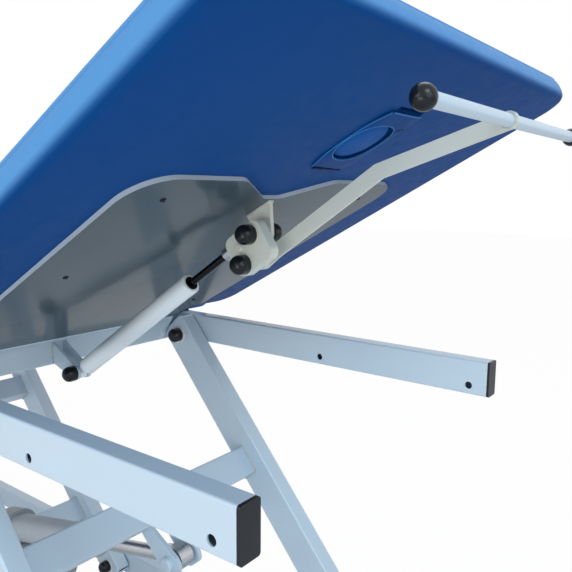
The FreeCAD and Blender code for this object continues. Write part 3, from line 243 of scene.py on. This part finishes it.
def wood(name):
    """Birch with its grain drawn out along the board."""
    look = Finish(name)
    grain = look.noise(18, detail=6, stretch=(0.6, 9, 9))
    look.colour(grain, [(0.3, linear(176, 138, 92)), (0.7, linear(214, 180, 132))])
    look.roughness(grain, 0.55, 0.75)
    look.bump(grain, 0.2, 0.3)
    return look.material


FRAME_WHITE = linear(195, 212, 224)
PLATE_GREY = linear(67, 82, 91)
# The plate's paler edge colour is painted light on its cut edges.
PLATE_EDGE_PAINTED_LIGHT = linear(186, 198, 206)
BLUE = linear(12, 70, 134)
# The side band's lighter blue is painted light on the same vinyl, not a second colour of cover.
PAINTED_LIGHT_BOXING_BLUE = linear(92, 150, 205)

PAINT = powder_coat("white_powder_coat", FRAME_WHITE)
PLATE_PAINT = plate_coat("plate_gloss_paint", PLATE_GREY, PLATE_EDGE_PAINTED_LIGHT)
BRACKET_PAINT = powder_coat("bracket_powder_coat", linear(214, 216, 204))
STRUT_PAINT = powder_coat("strut_gloss_paint", linear(236, 243, 246), rough=(0.2, 0.23), coat=0.5)
VINYL = vinyl("blue_vinyl", BLUE, PAINTED_LIGHT_BOXING_BLUE)
PLUG_VINYL = vinyl("plug_vinyl", linear(19, 86, 160))
# The piping's lighter blue is painted highlight on the strap's rims.
PIPING_PAINTED_HIGHLIGHT = vinyl("piping_highlight_vinyl", linear(70, 130, 188))
# The near-black fold colour is painted shade in the slit and the crease.
FOLD_PAINTED_SHADE = vinyl("fold_shade_vinyl", linear(6, 24, 58))
WELD_PAINT = powder_coat("painted_weld", linear(188, 192, 188), rough=(0.3, 0.42))
CAP_PLASTIC = plastic("black_cap_plastic", linear(22, 25, 30), rough=(0.2, 0.27), gloss=0.3)
BOX_PLASTIC = plastic("grey_box_plastic", linear(92, 95, 100), rough=(0.45, 0.6), grain=True)
NYLON = plastic("white_nylon", linear(224, 224, 218), rough=(0.35, 0.5))
RUBBER = plastic("black_rubber", linear(28, 28, 29), rough=(0.6, 0.8), grain=True)
ZINC = metal("zinc_steel", linear(196, 198, 200))
ROD_STEEL = metal("nitrided_rod", linear(40, 42, 46), rough=(0.18, 0.28))
ACTUATOR_PAINT = powder_coat("actuator_paint", linear(168, 174, 178), rough=(0.35, 0.5), coat=0.1)
MOTOR_PAINT = powder_coat("motor_paint", linear(150, 156, 162), rough=(0.35, 0.5), coat=0.1)
PLYWOOD = wood("birch_plywood")

NODE_FINISH = {
    "reinforcement_plate": PLATE_PAINT, "strut_tab": BRACKET_PAINT, "release_cheeks": BRACKET_PAINT,
    "lever_arm": BRACKET_PAINT, "gas_cylinder": STRUT_PAINT, "strut_eye": STRUT_PAINT,
    "rod_guide": ROD_STEEL, "gas_rod": ROD_STEEL, "control_box": BOX_PLASTIC,
    "actuator_tube": ACTUATOR_PAINT, "actuator_gearbox": MOTOR_PAINT, "actuator_motor": MOTOR_PAINT,
    "actuator_rod": ZINC,
}
SLOT_FINISH = {
    "white_paint": PAINT, "strut_paint": STRUT_PAINT, "actuator_grey": ACTUATOR_PAINT, "zinc_steel": ZINC,
    "dark_steel": ROD_STEEL, "black_plastic": CAP_PLASTIC, "grey_plastic": BOX_PLASTIC,
    "white_nylon": NYLON, "rubber_black": RUBBER, "plywood": PLYWOOD, "blue_vinyl": VINYL,
}
for part in frame["record"]["subparts"]:
    node = frame["nodes"][part["node"]]
    finish = NODE_FINISH.get(part["node"], SLOT_FINISH[part["material_slot"]])
    node.data.materials.clear()
    node.data.materials.append(finish)


# Pieces made here
def new_piece(name, mesh_builder, matrix, body, finish):
    """A mesh piece built in millimetres, brought to metres in the row frame and set to ride on a body."""
    mesh = bpy.data.meshes.new(name)
    work = bmesh.new()
    mesh_builder(work)
    bmesh.ops.recalc_face_normals(work, faces=work.faces)
    work.to_mesh(mesh)
    work.free()
    mesh.transform(matrix)
    for face in mesh.polygons:
        face.use_smooth = True
    piece = bpy.data.objects.new(name, mesh)
    bpy.context.scene.collection.objects.link(piece)
    mesh.materials.append(finish)
    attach(piece, body)
    return piece


WOBBLE_PITCH = 0.55


def skin(work, loops, wrap=False, ends=True):
    """Faces between neighbouring closed loops; wrap joins the last loop to the first, ends closes both."""
    count = len(loops)
    for index in range(count if wrap else count - 1):
        lower, upper = loops[index], loops[(index + 1) % count]
        for step in range(len(lower)):
            follow = (step + 1) % len(lower)
            work.faces.new((lower[step], lower[follow], upper[follow], upper[step]))
    if ends and not wrap:
        work.faces.new(loops[0])
        work.faces.new(loops[-1])


def circle(radius, sides):
    """Points of a circle round the origin."""
    for step in range(sides):
        angle = 2 * math.pi * step / sides
        yield radius * math.cos(angle), radius * math.sin(angle)


def tube(work, points, radius, closed=False, sides=8, wobble=0):
    """A thin round tube along points; a wobble gives it a weld's ripple."""
    count = len(points)
    loops = []
    for index, point in enumerate(points):
        before = points[(index - 1) % count] if closed or index else point
        after = points[(index + 1) % count] if closed or index < count - 1 else point
        along = (Vector(after) - Vector(before)).normalized()
        side = along.orthogonal() if abs(along.z) > 0.95 else along.cross(Vector((0, 0, 1))).normalized()
        rise = along.cross(side).normalized()
        side = rise.cross(along).normalized()
        here = radius * (1 + wobble * noise.noise(Vector(point) * WOBBLE_PITCH))
        loops.append([work.verts.new(Vector(point) + side * across + rise * above)
                      for across, above in circle(here, sides)])
    skin(work, loops, wrap=closed)


def run_of(*corners, pitch=1.2):
    """Points at a small pitch along straight runs between corners."""
    points = []
    for start, end in zip(corners, corners[1:]):
        start, end = Vector(start), Vector(end)
        steps = max(1, round((end - start).length / pitch))
        points += [start.lerp(end, step / steps) for step in range(steps)]
    return points + [Vector(corners[-1])]


def rounded_ring(half_long, half_wide, radius, spacing=28, corner_steps=10):
    """Points of a rounded rectangle, with the outward direction at each, from its middle."""
    points = []
    for quarter in range(4):
        sign_x, sign_y = ((1, 1), (-1, 1), (-1, -1), (1, -1))[quarter]
        centre = Vector((sign_x * (half_long - radius), sign_y * (half_wide - radius)))
        for step in range(corner_steps + 1):
            angle = math.radians(90 * (quarter + step / corner_steps))
            outward = Vector((math.cos(angle), math.sin(angle)))
            points.append((centre + outward * radius, outward))
        side = 2 * (half_wide - radius) if quarter % 2 else 2 * (half_long - radius)
        count = max(2, round(side / spacing))
        start, outward = points[-1]
        along = Vector((-outward.y, outward.x))
        for step in range(1, count):
            points.append((start + along * (side * step / count), outward))
    return points


def loft(work, ring, profile, middle, inner_radius):
    """Skin closed rings whose inset and height follow a profile, and close both ends."""
    loops = []
    half_long = max(point.x for point, _ in ring)
    half_wide = max(point.y for point, _ in ring)
    for inset, height in profile:
        loop = []
        for point, outward in ring:
            place = point - outward * min(inset, inner_radius)
            extra = max(inset - inner_radius, 0)
            scale_x = max((half_long - inset), 1) / max(half_long - min(inset, inner_radius), 1)
            scale_y = max((half_wide - inset), 1) / max(half_wide - min(inset, inner_radius), 1)
            if extra > 0:
                place = Vector((place.x * scale_x, place.y * scale_y))
            loop.append(work.verts.new((middle[0] + place.x, middle[1] + place.y, height)))
        loops.append(loop)
    skin(work, loops)


# Cushions: half width, plan corners, thickness, and the seam's height above the board side, in millimetres
PAD_HALF_WIDE, PAD_ROUND, PAD_THICK, SEAM_UP = 342, 40, 36.5, 26
HELD_UP = SEAM_UP + 0.5

# The cloth: its pressure, the frames it runs for, the crown it ends with, and the passes that even it out
CLOTH_PRESSURE, CLOTH_STEPS, CLOTH_CAP, CLOTH_EVEN = 4, 20, 7, 40


def cushion_profile(low):
    """Inset and height of the cushion's side and top, from the middle of the underside round to the top."""
    points = [(300, 0), (200, 0), (120, 0), (60, 0), (24, 0), (12, 0), (7.5, 0.2), (4.2, 1.2), (2.0, 3.2),
              (0.8, 6), (0.2, 9.5), (0, 13), (0.1, 17), (0.5, 21), (1.1, 23.8), (1.7, 25.2),
              (2.6, SEAM_UP), (1.7, 26.8), (1.5, 27.8), (2.0, 29.6), (3.6, 31.4), (6.4, 33), (11, 34.3),
              (18, 35.2), (30, 35.8), (48, 36.2), (75, 36.4), (100, PAD_THICK)]
    points += [(inset, PAD_THICK) for inset in range(125, 310, 25)]
    return [(inset, low + height) for inset, height in points]


def swell(piece, matrix, low):
    """Blow up the foam's top as a cloth under pressure, with the board side and the side band held.

    The whole swelling is evened out and scaled so that its highest point rises by CLOTH_CAP, which keeps
    its crown smooth.
    """
    mesh = piece.data
    start = [vertex.co.copy() for vertex in mesh.vertices]
    back = matrix.inverted()
    free = [(back @ place).z >= low + HELD_UP for place in start]
    held = piece.vertex_groups.new(name="held")
    held.add([index for index, is_free in enumerate(free) if not is_free], 1, "REPLACE")
    cloth = piece.modifiers.new("cloth", "CLOTH")
    cloth.settings.use_pressure = True
    cloth.settings.uniform_pressure_force = CLOTH_PRESSURE
    cloth.settings.vertex_group_mass = "held"
    cloth.settings.effector_weights.gravity = 0
    cloth.collision_settings.use_collision = False
    scene = bpy.context.scene
    for step in range(1, CLOTH_STEPS + 1):
        scene.frame_set(step)
    blown = piece.evaluated_get(bpy.context.evaluated_depsgraph_get()).data
    moves = [after.co - before for after, before in zip(blown.vertices, start)]
    piece.modifiers.clear()
    piece.vertex_groups.clear()
    scene.frame_set(1)
    for _ in range(CLOTH_EVEN):
        total = [move.copy() for move in moves]
        count = [1] * len(moves)
        for edge in mesh.edges:
            first, second = edge.vertices
            total[first] += moves[second]
            total[second] += moves[first]
            count[first] += 1
            count[second] += 1
        moves = [move / share for move, share in zip(total, count)]
    scale = CLOTH_CAP * MM / max(move.length for move in moves)
    for vertex, before, move, is_free in zip(mesh.vertices, start, moves, free):
        if is_free:
            vertex.co = before + move * scale


def ripple(work, low):
    """Slight unevenness of a stretched cover: broad waves on top, small puckers near the seam."""
    for vertex in work.verts:
        height = vertex.co.z - low
        if height < 2:
            continue
        wave = noise.noise(vertex.co * 0.011) * 0.7 + noise.noise(vertex.co * 0.045) * 0.25
        near_seam = math.exp(-((height - SEAM_UP) / 7) ** 2)
        pucker = noise.noise(Vector((vertex.co.x * 0.09, vertex.co.y * 0.09, 3.0))) * 0.5 * near_seam
        if height > 34:
            vertex.co.z -= abs(wave) * 0.6
        vertex.co.z += pucker


def cushion(name, matrix, body, start, long, low, nodes):
    """A cushion from its foot end's place, its length and its board side's height in its own frame."""
    ring = rounded_ring(long / 2, PAD_HALF_WIDE, PAD_ROUND)

    def build(work):
        loft(work, ring, cushion_profile(low), (start + long / 2, 0), PAD_ROUND - 4)
        ripple(work, low)
    piece = new_piece(name, build, matrix, body, VINYL)
    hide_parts(*nodes)
    swell(piece, matrix, low)
    return piece


PAD_START, PAD_LONG, UNDER = 25.7, 724, -4.5
SEAT_START, SEAT_LONG, SEAT_LOW = -1790, 1184, 1.5
backrest_cushion = cushion("backrest_cushion", backrest_frame(), "backrest", PAD_START, PAD_LONG, UNDER,
                           ["backrest_pad", "backrest_board"])
seat_cushion = cushion("seat_cushion", top_frame(), "top_frame", SEAT_START, SEAT_LONG, SEAT_LOW,
                       ["seat_pad", "seat_board"])

# The breathing hole: its middle along from the hinge and across, and its size
HOLE_MID, HOLE_SIDE, HOLE_LONG, HOLE_WIDE = 599.7, 7.5, 73, 70
HOLE_BELOW, HOLE_ABOVE = 30, 80

# The strap as the photo shows it: nearer edge close to the plug, foot end tucked in, head end open
STRAP_FOOT, STRAP_HEAD, STRAP_NEAR, STRAP_FAR, STRAP_LIFT = 540, 657, -28, 52, 3.6
MOUTH_MID, MOUTH_SIDE, MOUTH_LONG, MOUTH_WIDE, MOUTH_SQUARE = 600, 8.7, 68, 66, 0.86

# Slits that the strap's ends go into: along from the hinge and across, each low and high
SLITS = ((538, 543, -12, 48), (657.6, 664, -9, 47))
SLIT_DEEP = 9


def hole_ring(work, inset, height):
    """A ring of the hole's oval, drawn in by an inset, at a height above the cushion's underside."""
    long_way, wide_way = HOLE_LONG / 2 - inset, HOLE_WIDE / 2 - inset
    return [work.verts.new((HOLE_MID + long_way * along, HOLE_SIDE + wide_way * across, UNDER + height))
            for along, across in circle(1, 72)]


def cut_hole(piece):
    """Cut the breathing hole and the strap's slits into a piece, with their edges left crisp."""
    def build(work):
        skin(work, [hole_ring(work, 0, -HOLE_BELOW), hole_ring(work, 0, HOLE_ABOVE)])
        for foot, head, near, far in SLITS:
            size = Vector((head - foot, far - near, 2 * SLIT_DEEP, 1))
            middle = Vector(((foot + head) / 2, (near + far) / 2, UNDER))
            bmesh.ops.create_cube(work, size=1, matrix=Matrix.Translation(middle) @ Matrix.Diagonal(size))
    mesh = bpy.data.meshes.new("hole_tool")
    work = bmesh.new()
    build(work)
    bmesh.ops.recalc_face_normals(work, faces=work.faces)
    work.to_mesh(mesh)
    work.free()
    mesh.transform(backrest_frame())
    tool = bpy.data.objects.new("hole_tool", mesh)
    bpy.context.scene.collection.objects.link(tool)
    modifier = piece.modifiers.new("hole", "BOOLEAN")
    modifier.operation = "DIFFERENCE"
    modifier.solver = "EXACT"
    modifier.object = tool
    bpy.context.view_layer.update()
    graph = bpy.context.evaluated_depsgraph_get()
    result = bpy.data.meshes.new_from_object(piece.evaluated_get(graph))
    piece.modifiers.clear()
    old = piece.data
    piece.data = result
    bpy.data.meshes.remove(old)
    bpy.data.objects.remove(tool)
    bpy.data.meshes.remove(mesh)


cut_hole(backrest_cushion)


def mark_boxing_painted_light(piece, matrix, start, long, low):
    """Store where the side band is, rising softly from the rounded lower edge; this share lays painted light on
    the band, lighter than the underside.
    """
    layer = piece.data.attributes.new("boxing_light_share", "FLOAT", "POINT")
    back = matrix.inverted()
    for vertex, value in zip(piece.data.vertices, layer.data):
        place = back @ vertex.co
        inset = min(long / 2 - abs(place.x - start - long / 2), PAD_HALF_WIDE - abs(place.y))
        height = place.z - low
        rise = min(max((height - 1) / 9, 0), 1)
        near = min(max((26 - inset) / 12, 0), 1)
        value.value = rise * rise * (3 - 2 * rise) * near
    piece.data.update()


mark_boxing_painted_light(backrest_cushion, backrest_frame(), PAD_START, PAD_LONG, UNDER)
mark_boxing_painted_light(seat_cushion, top_frame(), SEAT_START, SEAT_LONG, SEAT_LOW)


# Plug of the breathing hole: a firm padded column with soft rims
PLUG_GAP = 0.8


def build_plug(work):
    profile = [(33, -3.1), (26, -3), (19, -2.8), (12, -2.3), (7, -1.5), (3.8, -0.4), (1.6, 1.4), (0.4, 4),
               (0, 10), (0, 30), (1.5, 33.6), (5, 35.6), (14, 36.4), (24, PAD_THICK)]
    skin(work, [hole_ring(work, PLUG_GAP + inset, height) for inset, height in profile])


plug = new_piece("hole_plug_pad", build_plug, backrest_frame(), "plug", PLUG_VINYL)
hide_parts("hole_plug")


# Strap round the breathing hole: a vinyl strip with an oval opening, its ends tucked into slits
STRAP_MIDDLE = Vector(((STRAP_FOOT + STRAP_HEAD) / 2, (STRAP_NEAR + STRAP_FAR) / 2))
STRAP_HALF_LONG, STRAP_HALF_WIDE = (STRAP_HEAD - STRAP_FOOT) / 2, (STRAP_FAR - STRAP_NEAR) / 2
STRAP_THICK, PIPING_INSET = 1.6, 0.9
CREASE_AT, CREASE_HALF, CREASE_FROM = 629, 2.2, 30


def strap_lift(x, y):
    """How far the strap's outer skin stands off the cushion, falling to its sides and its tucked end."""
    end = (x - STRAP_MIDDLE.x) / STRAP_HALF_LONG
    side = abs(y - STRAP_MIDDLE.y) / STRAP_HALF_WIDE
    tuck = max(0, (-end - 0.55) / 0.45) ** 2
    raised = max(0, (end - 0.7) / 0.3) ** 2
    crease = math.exp(-((x - CREASE_AT) / CREASE_HALF) ** 2) * min(max((y - CREASE_FROM) / 8, 0), 1)
    return STRAP_LIFT * (1 - 0.9 * tuck) * (1 - 0.6 * side ** 4) * (1 - 0.2 * raised) * (1 - 0.75 * crease)


def near_edge(x):
    """The strap's near side swings out round the plug and in towards both ends."""
    along = (x - STRAP_MIDDLE.x) / STRAP_HALF_LONG
    return STRAP_NEAR * (1 - 0.45 * min(abs(along), 1) ** 3)


def strap_point(x, y, sink=0.0):
    """A point on the strap's outer skin, or sunk into it by some millimetres."""
    return Vector((x, y, UNDER - strap_lift(x, y) + sink))


def mouth_point(angle, grow=0.0):
    """A point of the mouth's edge, which is an oval drawn out towards a rectangle."""
    def reach(value):
        return math.copysign(abs(value) ** MOUTH_SQUARE, value)
    return (MOUTH_MID + (MOUTH_LONG / 2 + grow) * reach(math.cos(angle)),
            MOUTH_SIDE + (MOUTH_WIDE / 2 + grow) * reach(math.sin(angle)))


def build_strap(work):
    """A strip with an oval mouth: rings from the mouth out to a rounded rectangle, as two skins."""
    ring = rounded_ring(STRAP_HALF_LONG, STRAP_HALF_WIDE, 5, spacing=2.5, corner_steps=4)
    outer = [STRAP_MIDDLE + point for point, _ in ring]
    for place in outer:
        if place.y < 0:
            place.y *= near_edge(place.x) / STRAP_NEAR
    levels = 10
    sides = []
    for thick in (0.0, STRAP_THICK):
        loops = []
        for level in range(levels + 1):
            loop = []
            for place in outer:
                angle = math.atan2((place.y - MOUTH_SIDE) / MOUTH_WIDE, (place.x - MOUTH_MID) / MOUTH_LONG)
                x, y = Vector(mouth_point(angle)).lerp(place, level / levels)
                loop.append(work.verts.new(strap_point(x, y, min(thick, max(strap_lift(x, y) - 0.1, 0)))))
            loops.append(loop)
        skin(work, loops, ends=False)
        sides.append(loops)
    for edge in (0, -1):
        skin(work, [sides[0][edge], sides[1][edge]], ends=False)


strap = new_piece("hole_strap_strip", build_strap, backrest_frame(), "backrest", VINYL)
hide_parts("hole_strap")


def build_piping(work):
    """Thin rolled edges: round the strap's mouth, along its near side and across its open end, in a lighter vinyl
    that is painted highlight on the rims.
    """
    rim = [strap_point(*mouth_point(2 * math.pi * step / 80, 1.0), 0.3) for step in range(80)]
    tube(work, rim, 0.7, closed=True)
    steps = 48
    runs = [STRAP_FOOT + 4 + (STRAP_HEAD - STRAP_FOOT - 6) * step / steps for step in range(steps + 1)]
    tube(work, [strap_point(x, near_edge(x) + PIPING_INSET, 0.2) for x in runs], 0.6)
    tube(work, [strap_point(x, STRAP_FAR - PIPING_INSET, 0.2) for x in runs], 0.3)
    low = near_edge(STRAP_HEAD)
    lip = [strap_point(STRAP_HEAD - PIPING_INSET, low + 3 + (STRAP_FAR - low - 6) * step / steps, 0.1)
           for step in range(steps + 1)]
    tube(work, lip, 0.9)


piping = new_piece("strap_piping_highlight", build_piping, backrest_frame(), "backrest", PIPING_PAINTED_HIGHLIGHT)


def fold_point(y):
    """A point of the fold in the foot slit, which leans a little towards the hinge as it goes across."""
    return (SLITS[0][1] - 1 - y * 0.06, y, UNDER - 0.2)


def build_fold_shade(work):
    """Dark tubes of painted shade in the strap's folds: its tucked foot end, thinner to the far side, and the
    crease.
    """
    near, far = SLITS[0][2:]
    for start, end, radius in ((near, 8, 2.6), (6, 30, 1.9), (28, far, 1.1)):
        tube(work, run_of(fold_point(start), fold_point(end)), radius)
    fold = [strap_point(CREASE_AT + 0.12 * step, CREASE_FROM + 6 + step * 0.7, 0.1) for step in range(21)]
    tube(work, fold, 0.8)


new_piece("strap_fold_shade", build_fold_shade, backrest_frame(), "backrest", FOLD_PAINTED_SHADE)


# Painted weld beads where tubes and plates meet
WORLD = Matrix.Scale(MM, 4)
LEG_LEAN = (Vector(JOINTS["top_level"]["pos_m"]) - Vector(JOINTS["legs_head_swing"]["pos_m"]))
LEG_ANGLE = math.atan2(-LEG_LEAN.x, LEG_LEAN.z)


def leg_frame(joint):
    """Millimetres from a lower pivot, with local z up the leg."""
    turn = Matrix.Rotation(-LEG_ANGLE, 4, "Y")
    return Matrix.Translation(Vector(JOINTS[joint]["pos_m"])) @ turn @ Matrix.Scale(MM, 4)


def welds(name, matrix, body, runs, radius=1.7):
    def build(work):
        for corners in runs:
            tube(work, run_of(*corners), radius, sides=6, wobble=0.55)
    return new_piece(name, build, matrix, body, WELD_PAINT)


def u_run(x_low, x_high, y, z_low, z_high):
    """Down one side of a tube's end, along its bottom and up the other side."""
    return ((x_low, y, z_high), (x_low, y, z_low), (x_high, y, z_low), (x_high, y, z_high))


TIE_X, TIE_LOWS, TIE_TALL, LEG_INNER = (-28, 2), (120, 449), 50, 219
for end in ("head", "foot"):
    runs = []
    for side in (-1, 1):
        for low in TIE_LOWS:
            runs.append(u_run(*TIE_X, side * (LEG_INNER - 0.7), low, low + TIE_TALL))
            runs.append(((TIE_X[0], side * (LEG_INNER - 0.7), low + TIE_TALL),
                         (TIE_X[1], side * (LEG_INNER - 0.7), low + TIE_TALL)))
    welds(f"welds_leg_{end}", leg_frame(f"legs_{end}_swing"), f"legs_{end}", runs)

RAIL_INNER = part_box("rail_far")[0].y / MM
BAR_TALL, BAR_WIDE = 50, 25
TOP_BAR_STARTS, TOP_BAR_UP = (-647, -1175, -1720), -4
welds("welds_top_frame", top_frame(), "top_frame",
      [u_run(start, start + BAR_WIDE, side * (RAIL_INNER - 0.6), -BAR_TALL, TOP_BAR_UP)
       for start in TOP_BAR_STARTS for side in (-1, 1)])
base_low, base_high = (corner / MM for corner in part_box("base_crossbars"))
base_bars = [(base_low.x, base_low.x + BAR_WIDE), (base_high.x - BAR_WIDE, base_high.x)]
welds("welds_base", WORLD, "base",
      [u_run(low, high, side * (RAIL_INNER - 0.6), base_low.z, base_high.z) for low, high in base_bars
       for side in (-1, 1)])
TAB_X, TAB_NEAR, TAB_FAR, PLATE_FACE = (429.7, 469.7), -13, -7, -9.5
welds("welds_tab", backrest_frame(), "backrest",
      [((TAB_X[0], TAB_NEAR, PLATE_FACE), (TAB_X[1], TAB_NEAR, PLATE_FACE), (TAB_X[1], TAB_FAR, PLATE_FACE),
        (TAB_X[0], TAB_FAR, PLATE_FACE), (TAB_X[0], TAB_NEAR, PLATE_FACE))], radius=2.1)
lug_low, lug_high = (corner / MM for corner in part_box("strut_lugs"))
LUG_ROOT_Z = ((RAIL_TOP_Z / MM) - 47, (RAIL_TOP_Z / MM) - 13)
welds("welds_strut_lugs", WORLD, "top_frame",
      [((lug_low.x + 0.6, y, LUG_ROOT_Z[0]), (lug_low.x + 0.6, y, LUG_ROOT_Z[1]))
       for y in (lug_low.y - 0.4, lug_high.y + 0.4)])


def bar_joint(y):
    """Points of the ring where the hand bar goes through the arm."""
    low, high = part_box("hand_bar")
    middle, radius = (low + high) / 2 / MM, (high.x - low.x) / 2 / MM + 0.5
    return [Vector((middle.x + along, y, middle.z + above)) for along, above in circle(radius, 40)]


def build_bar_welds(work):
    low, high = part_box("lever_arm")
    for y in (low.y / MM - 0.3, high.y / MM + 0.3):
        tube(work, bar_joint(y), 1.4, closed=True, sides=6, wobble=0.5)


new_piece("welds_hand_bar", build_bar_welds, WORLD, "lever", WELD_PAINT)


# Screws that hold the reinforcement plate to the board
def screw(work, x, y):
    """A low round head with a socket, standing on the plate's underside."""
    profile = ((3.4, -0.2), (3.4, 0.7), (2.9, 1.3), (1.7, 1.6), (1.5, 0.5))
    skin(work, [[work.verts.new((x + along, y + across, PLATE_FACE - drop))
                 for along, across in circle(radius, 18)] for radius, drop in profile])


SCREW_FIRST, SCREW_PITCH, SCREW_SIDE, SCREW_COUNT = 474, 188.8, 184, 3


def build_screws(work):
    for side in (-1, 1):
        for index in range(SCREW_COUNT):
            screw(work, SCREW_FIRST - index * SCREW_PITCH, side * SCREW_SIDE)


new_piece("plate_screws", build_screws, backrest_frame(), "backrest", ROD_STEEL)


# Smooth shading by angle, so that turned and soft pieces are smooth and flat faces stay crisp
SHARP_FRAME, SHARP_SOFT = math.radians(32), math.radians(50)
for node in frame["nodes"].values():
    node.data.set_sharp_from_angle(angle=SHARP_FRAME)
for piece in (backrest_cushion, seat_cushion, plug, strap, piping):
    piece.data.set_sharp_from_angle(angle=SHARP_SOFT)


# Camera at the photograph's place, found from the rails' head ends
CAMERA_FROM_RAILS = Vector((305.7, -620.7, 234.5)) * MM
YAW, PITCH, ROLL = math.radians(37.08), math.radians(8.31), math.radians(-0.47)
FOCAL_SHARE = 649.6 / 572

forward = Vector((-math.sin(YAW) * math.cos(PITCH), math.cos(YAW) * math.cos(PITCH), -math.sin(PITCH)))
level_right = Vector((math.cos(YAW), math.sin(YAW), 0))
level_down = forward.cross(level_right)
right = math.cos(ROLL) * level_right + math.sin(ROLL) * level_down
up = -(-math.sin(ROLL) * level_right + math.cos(ROLL) * level_down)
camera_data = bpy.data.cameras.new("camera")
SENSOR = 36
camera_data.sensor_width = SENSOR
camera_data.lens = FOCAL_SHARE * SENSOR
camera_data.clip_start = 0.02
camera = bpy.data.objects.new("camera", camera_data)
turn = Matrix((right, up, -forward)).transposed().to_4x4()
camera.matrix_world = Matrix.Translation(Vector((RAIL_HEAD_X, 0, RAIL_TOP_Z)) + CAMERA_FROM_RAILS) @ turn
bpy.context.scene.collection.objects.link(camera)
bpy.context.scene.camera = camera


# Studio: a pale floor, white surroundings and soft lamps. The floor shines white to the camera, with
# room for the shadow, and only faintly to gloss, because the photo's floor is dim under the table
SEEN_FLOOR, GLOSSY_FLOOR = 0.97, 0.08
FLOOR_HALF = 14
WORLD_LIGHT, WORLD_SEEN = 0.42, 1.0


def stage_floor():
    mesh = bpy.data.meshes.new("floor")
    corners = [(FLOOR_HALF * x, FLOOR_HALF * y, 0) for x, y in ((-1, -1), (1, -1), (1, 1), (-1, 1))]
    mesh.from_pydata(corners, [], [(0, 1, 2, 3)])
    floor = bpy.data.objects.new("floor", mesh)
    bpy.context.scene.collection.objects.link(floor)
    look = Finish("pale_floor")
    look.colour(look.noise(3), [(0.3, (0.86, 0.87, 0.88, 1)), (0.7, (0.9, 0.9, 0.91, 1))])
    look.set(Roughness=0.9)
    glow = look.nodes.new("ShaderNodeEmission")
    path = look.nodes.new("ShaderNodeLightPath")
    dimmer = look.nodes.new("ShaderNodeMath")
    dimmer.operation = "MULTIPLY"
    dimmer.inputs[1].default_value = GLOSSY_FLOOR
    look.links.new(path.outputs["Is Glossy Ray"], dimmer.inputs[0])
    share = look.nodes.new("ShaderNodeMath")
    share.operation = "MULTIPLY_ADD"
    share.inputs[1].default_value = SEEN_FLOOR
    look.links.new(path.outputs["Is Camera Ray"], share.inputs[0])
    look.links.new(dimmer.outputs[0], share.inputs[2])
    mix = look.nodes.new("ShaderNodeMixShader")
    look.links.new(share.outputs[0], mix.inputs[0])
    look.links.new(look.shader.outputs[0], mix.inputs[1])
    look.links.new(glow.outputs[0], mix.inputs[2])
    look.links.new(mix.outputs[0], look.nodes["Material Output"].inputs["Surface"])
    mesh.materials.append(look.material)


def studio_world():
    """White surroundings: full for the camera and for reflections, dimmer as a light on the object."""
    world = bpy.data.worlds.new("studio")
    bpy.context.scene.world = world
    world.use_nodes = True
    nodes, links = world.node_tree.nodes, world.node_tree.links
    path = nodes.new("ShaderNodeLightPath")
    seen = nodes.new("ShaderNodeMath")
    seen.operation = "MAXIMUM"
    links.new(path.outputs["Is Camera Ray"], seen.inputs[0])
    links.new(path.outputs["Is Glossy Ray"], seen.inputs[1])
    strength = nodes.new("ShaderNodeMapRange")
    strength.inputs["To Min"].default_value = WORLD_LIGHT
    strength.inputs["To Max"].default_value = WORLD_SEEN
    links.new(seen.outputs[0], strength.inputs["Value"])
    background = nodes["Background"]
    background.inputs["Color"].default_value = (1, 1, 1, 1)
    links.new(strength.outputs[0], background.inputs["Strength"])


def lamp(name, place, target, size, power, colour=(1, 1, 1)):
    """A soft rectangular lamp, in metres and watts, turned to its target."""
    data = bpy.data.lights.new(name, "AREA")
    data.shape = "RECTANGLE"
    data.size, data.size_y = size
    data.energy = power
    data.color = colour
    light = bpy.data.objects.new(name, data)
    aim = (Vector(target) - Vector(place)).to_track_quat("-Z", "Y").to_matrix().to_4x4()
    light.matrix_world = Matrix.Translation(Vector(place)) @ aim
    bpy.context.scene.collection.objects.link(light)


stage_floor()
studio_world()
lamp("key", (-0.6, -3.4, 1.7), (0.2, 0, 0.7), (2.4, 1.6), 30)
lamp("head", (3.2, -1.0, 1.4), (0.3, 0, 0.7), (1.8, 1.6), 13)
lamp("low", (0.9, -2.6, 0.25), (0.4, 0, 0.75), (1.6, 0.5), 12)
lamp("sky", (2.9, -1.3, 2.9), (0.6, -0.2, 0.65), (1.6, 1.2), 46, (0.5, 0.77, 1.0))
lamp("top", (-0.4, 1.2, 3.4), (0, 0, 0.7), (2.6, 2.0), 30, (0.86, 0.94, 1.0))

bpy.context.scene.view_settings.view_transform = "Standard"
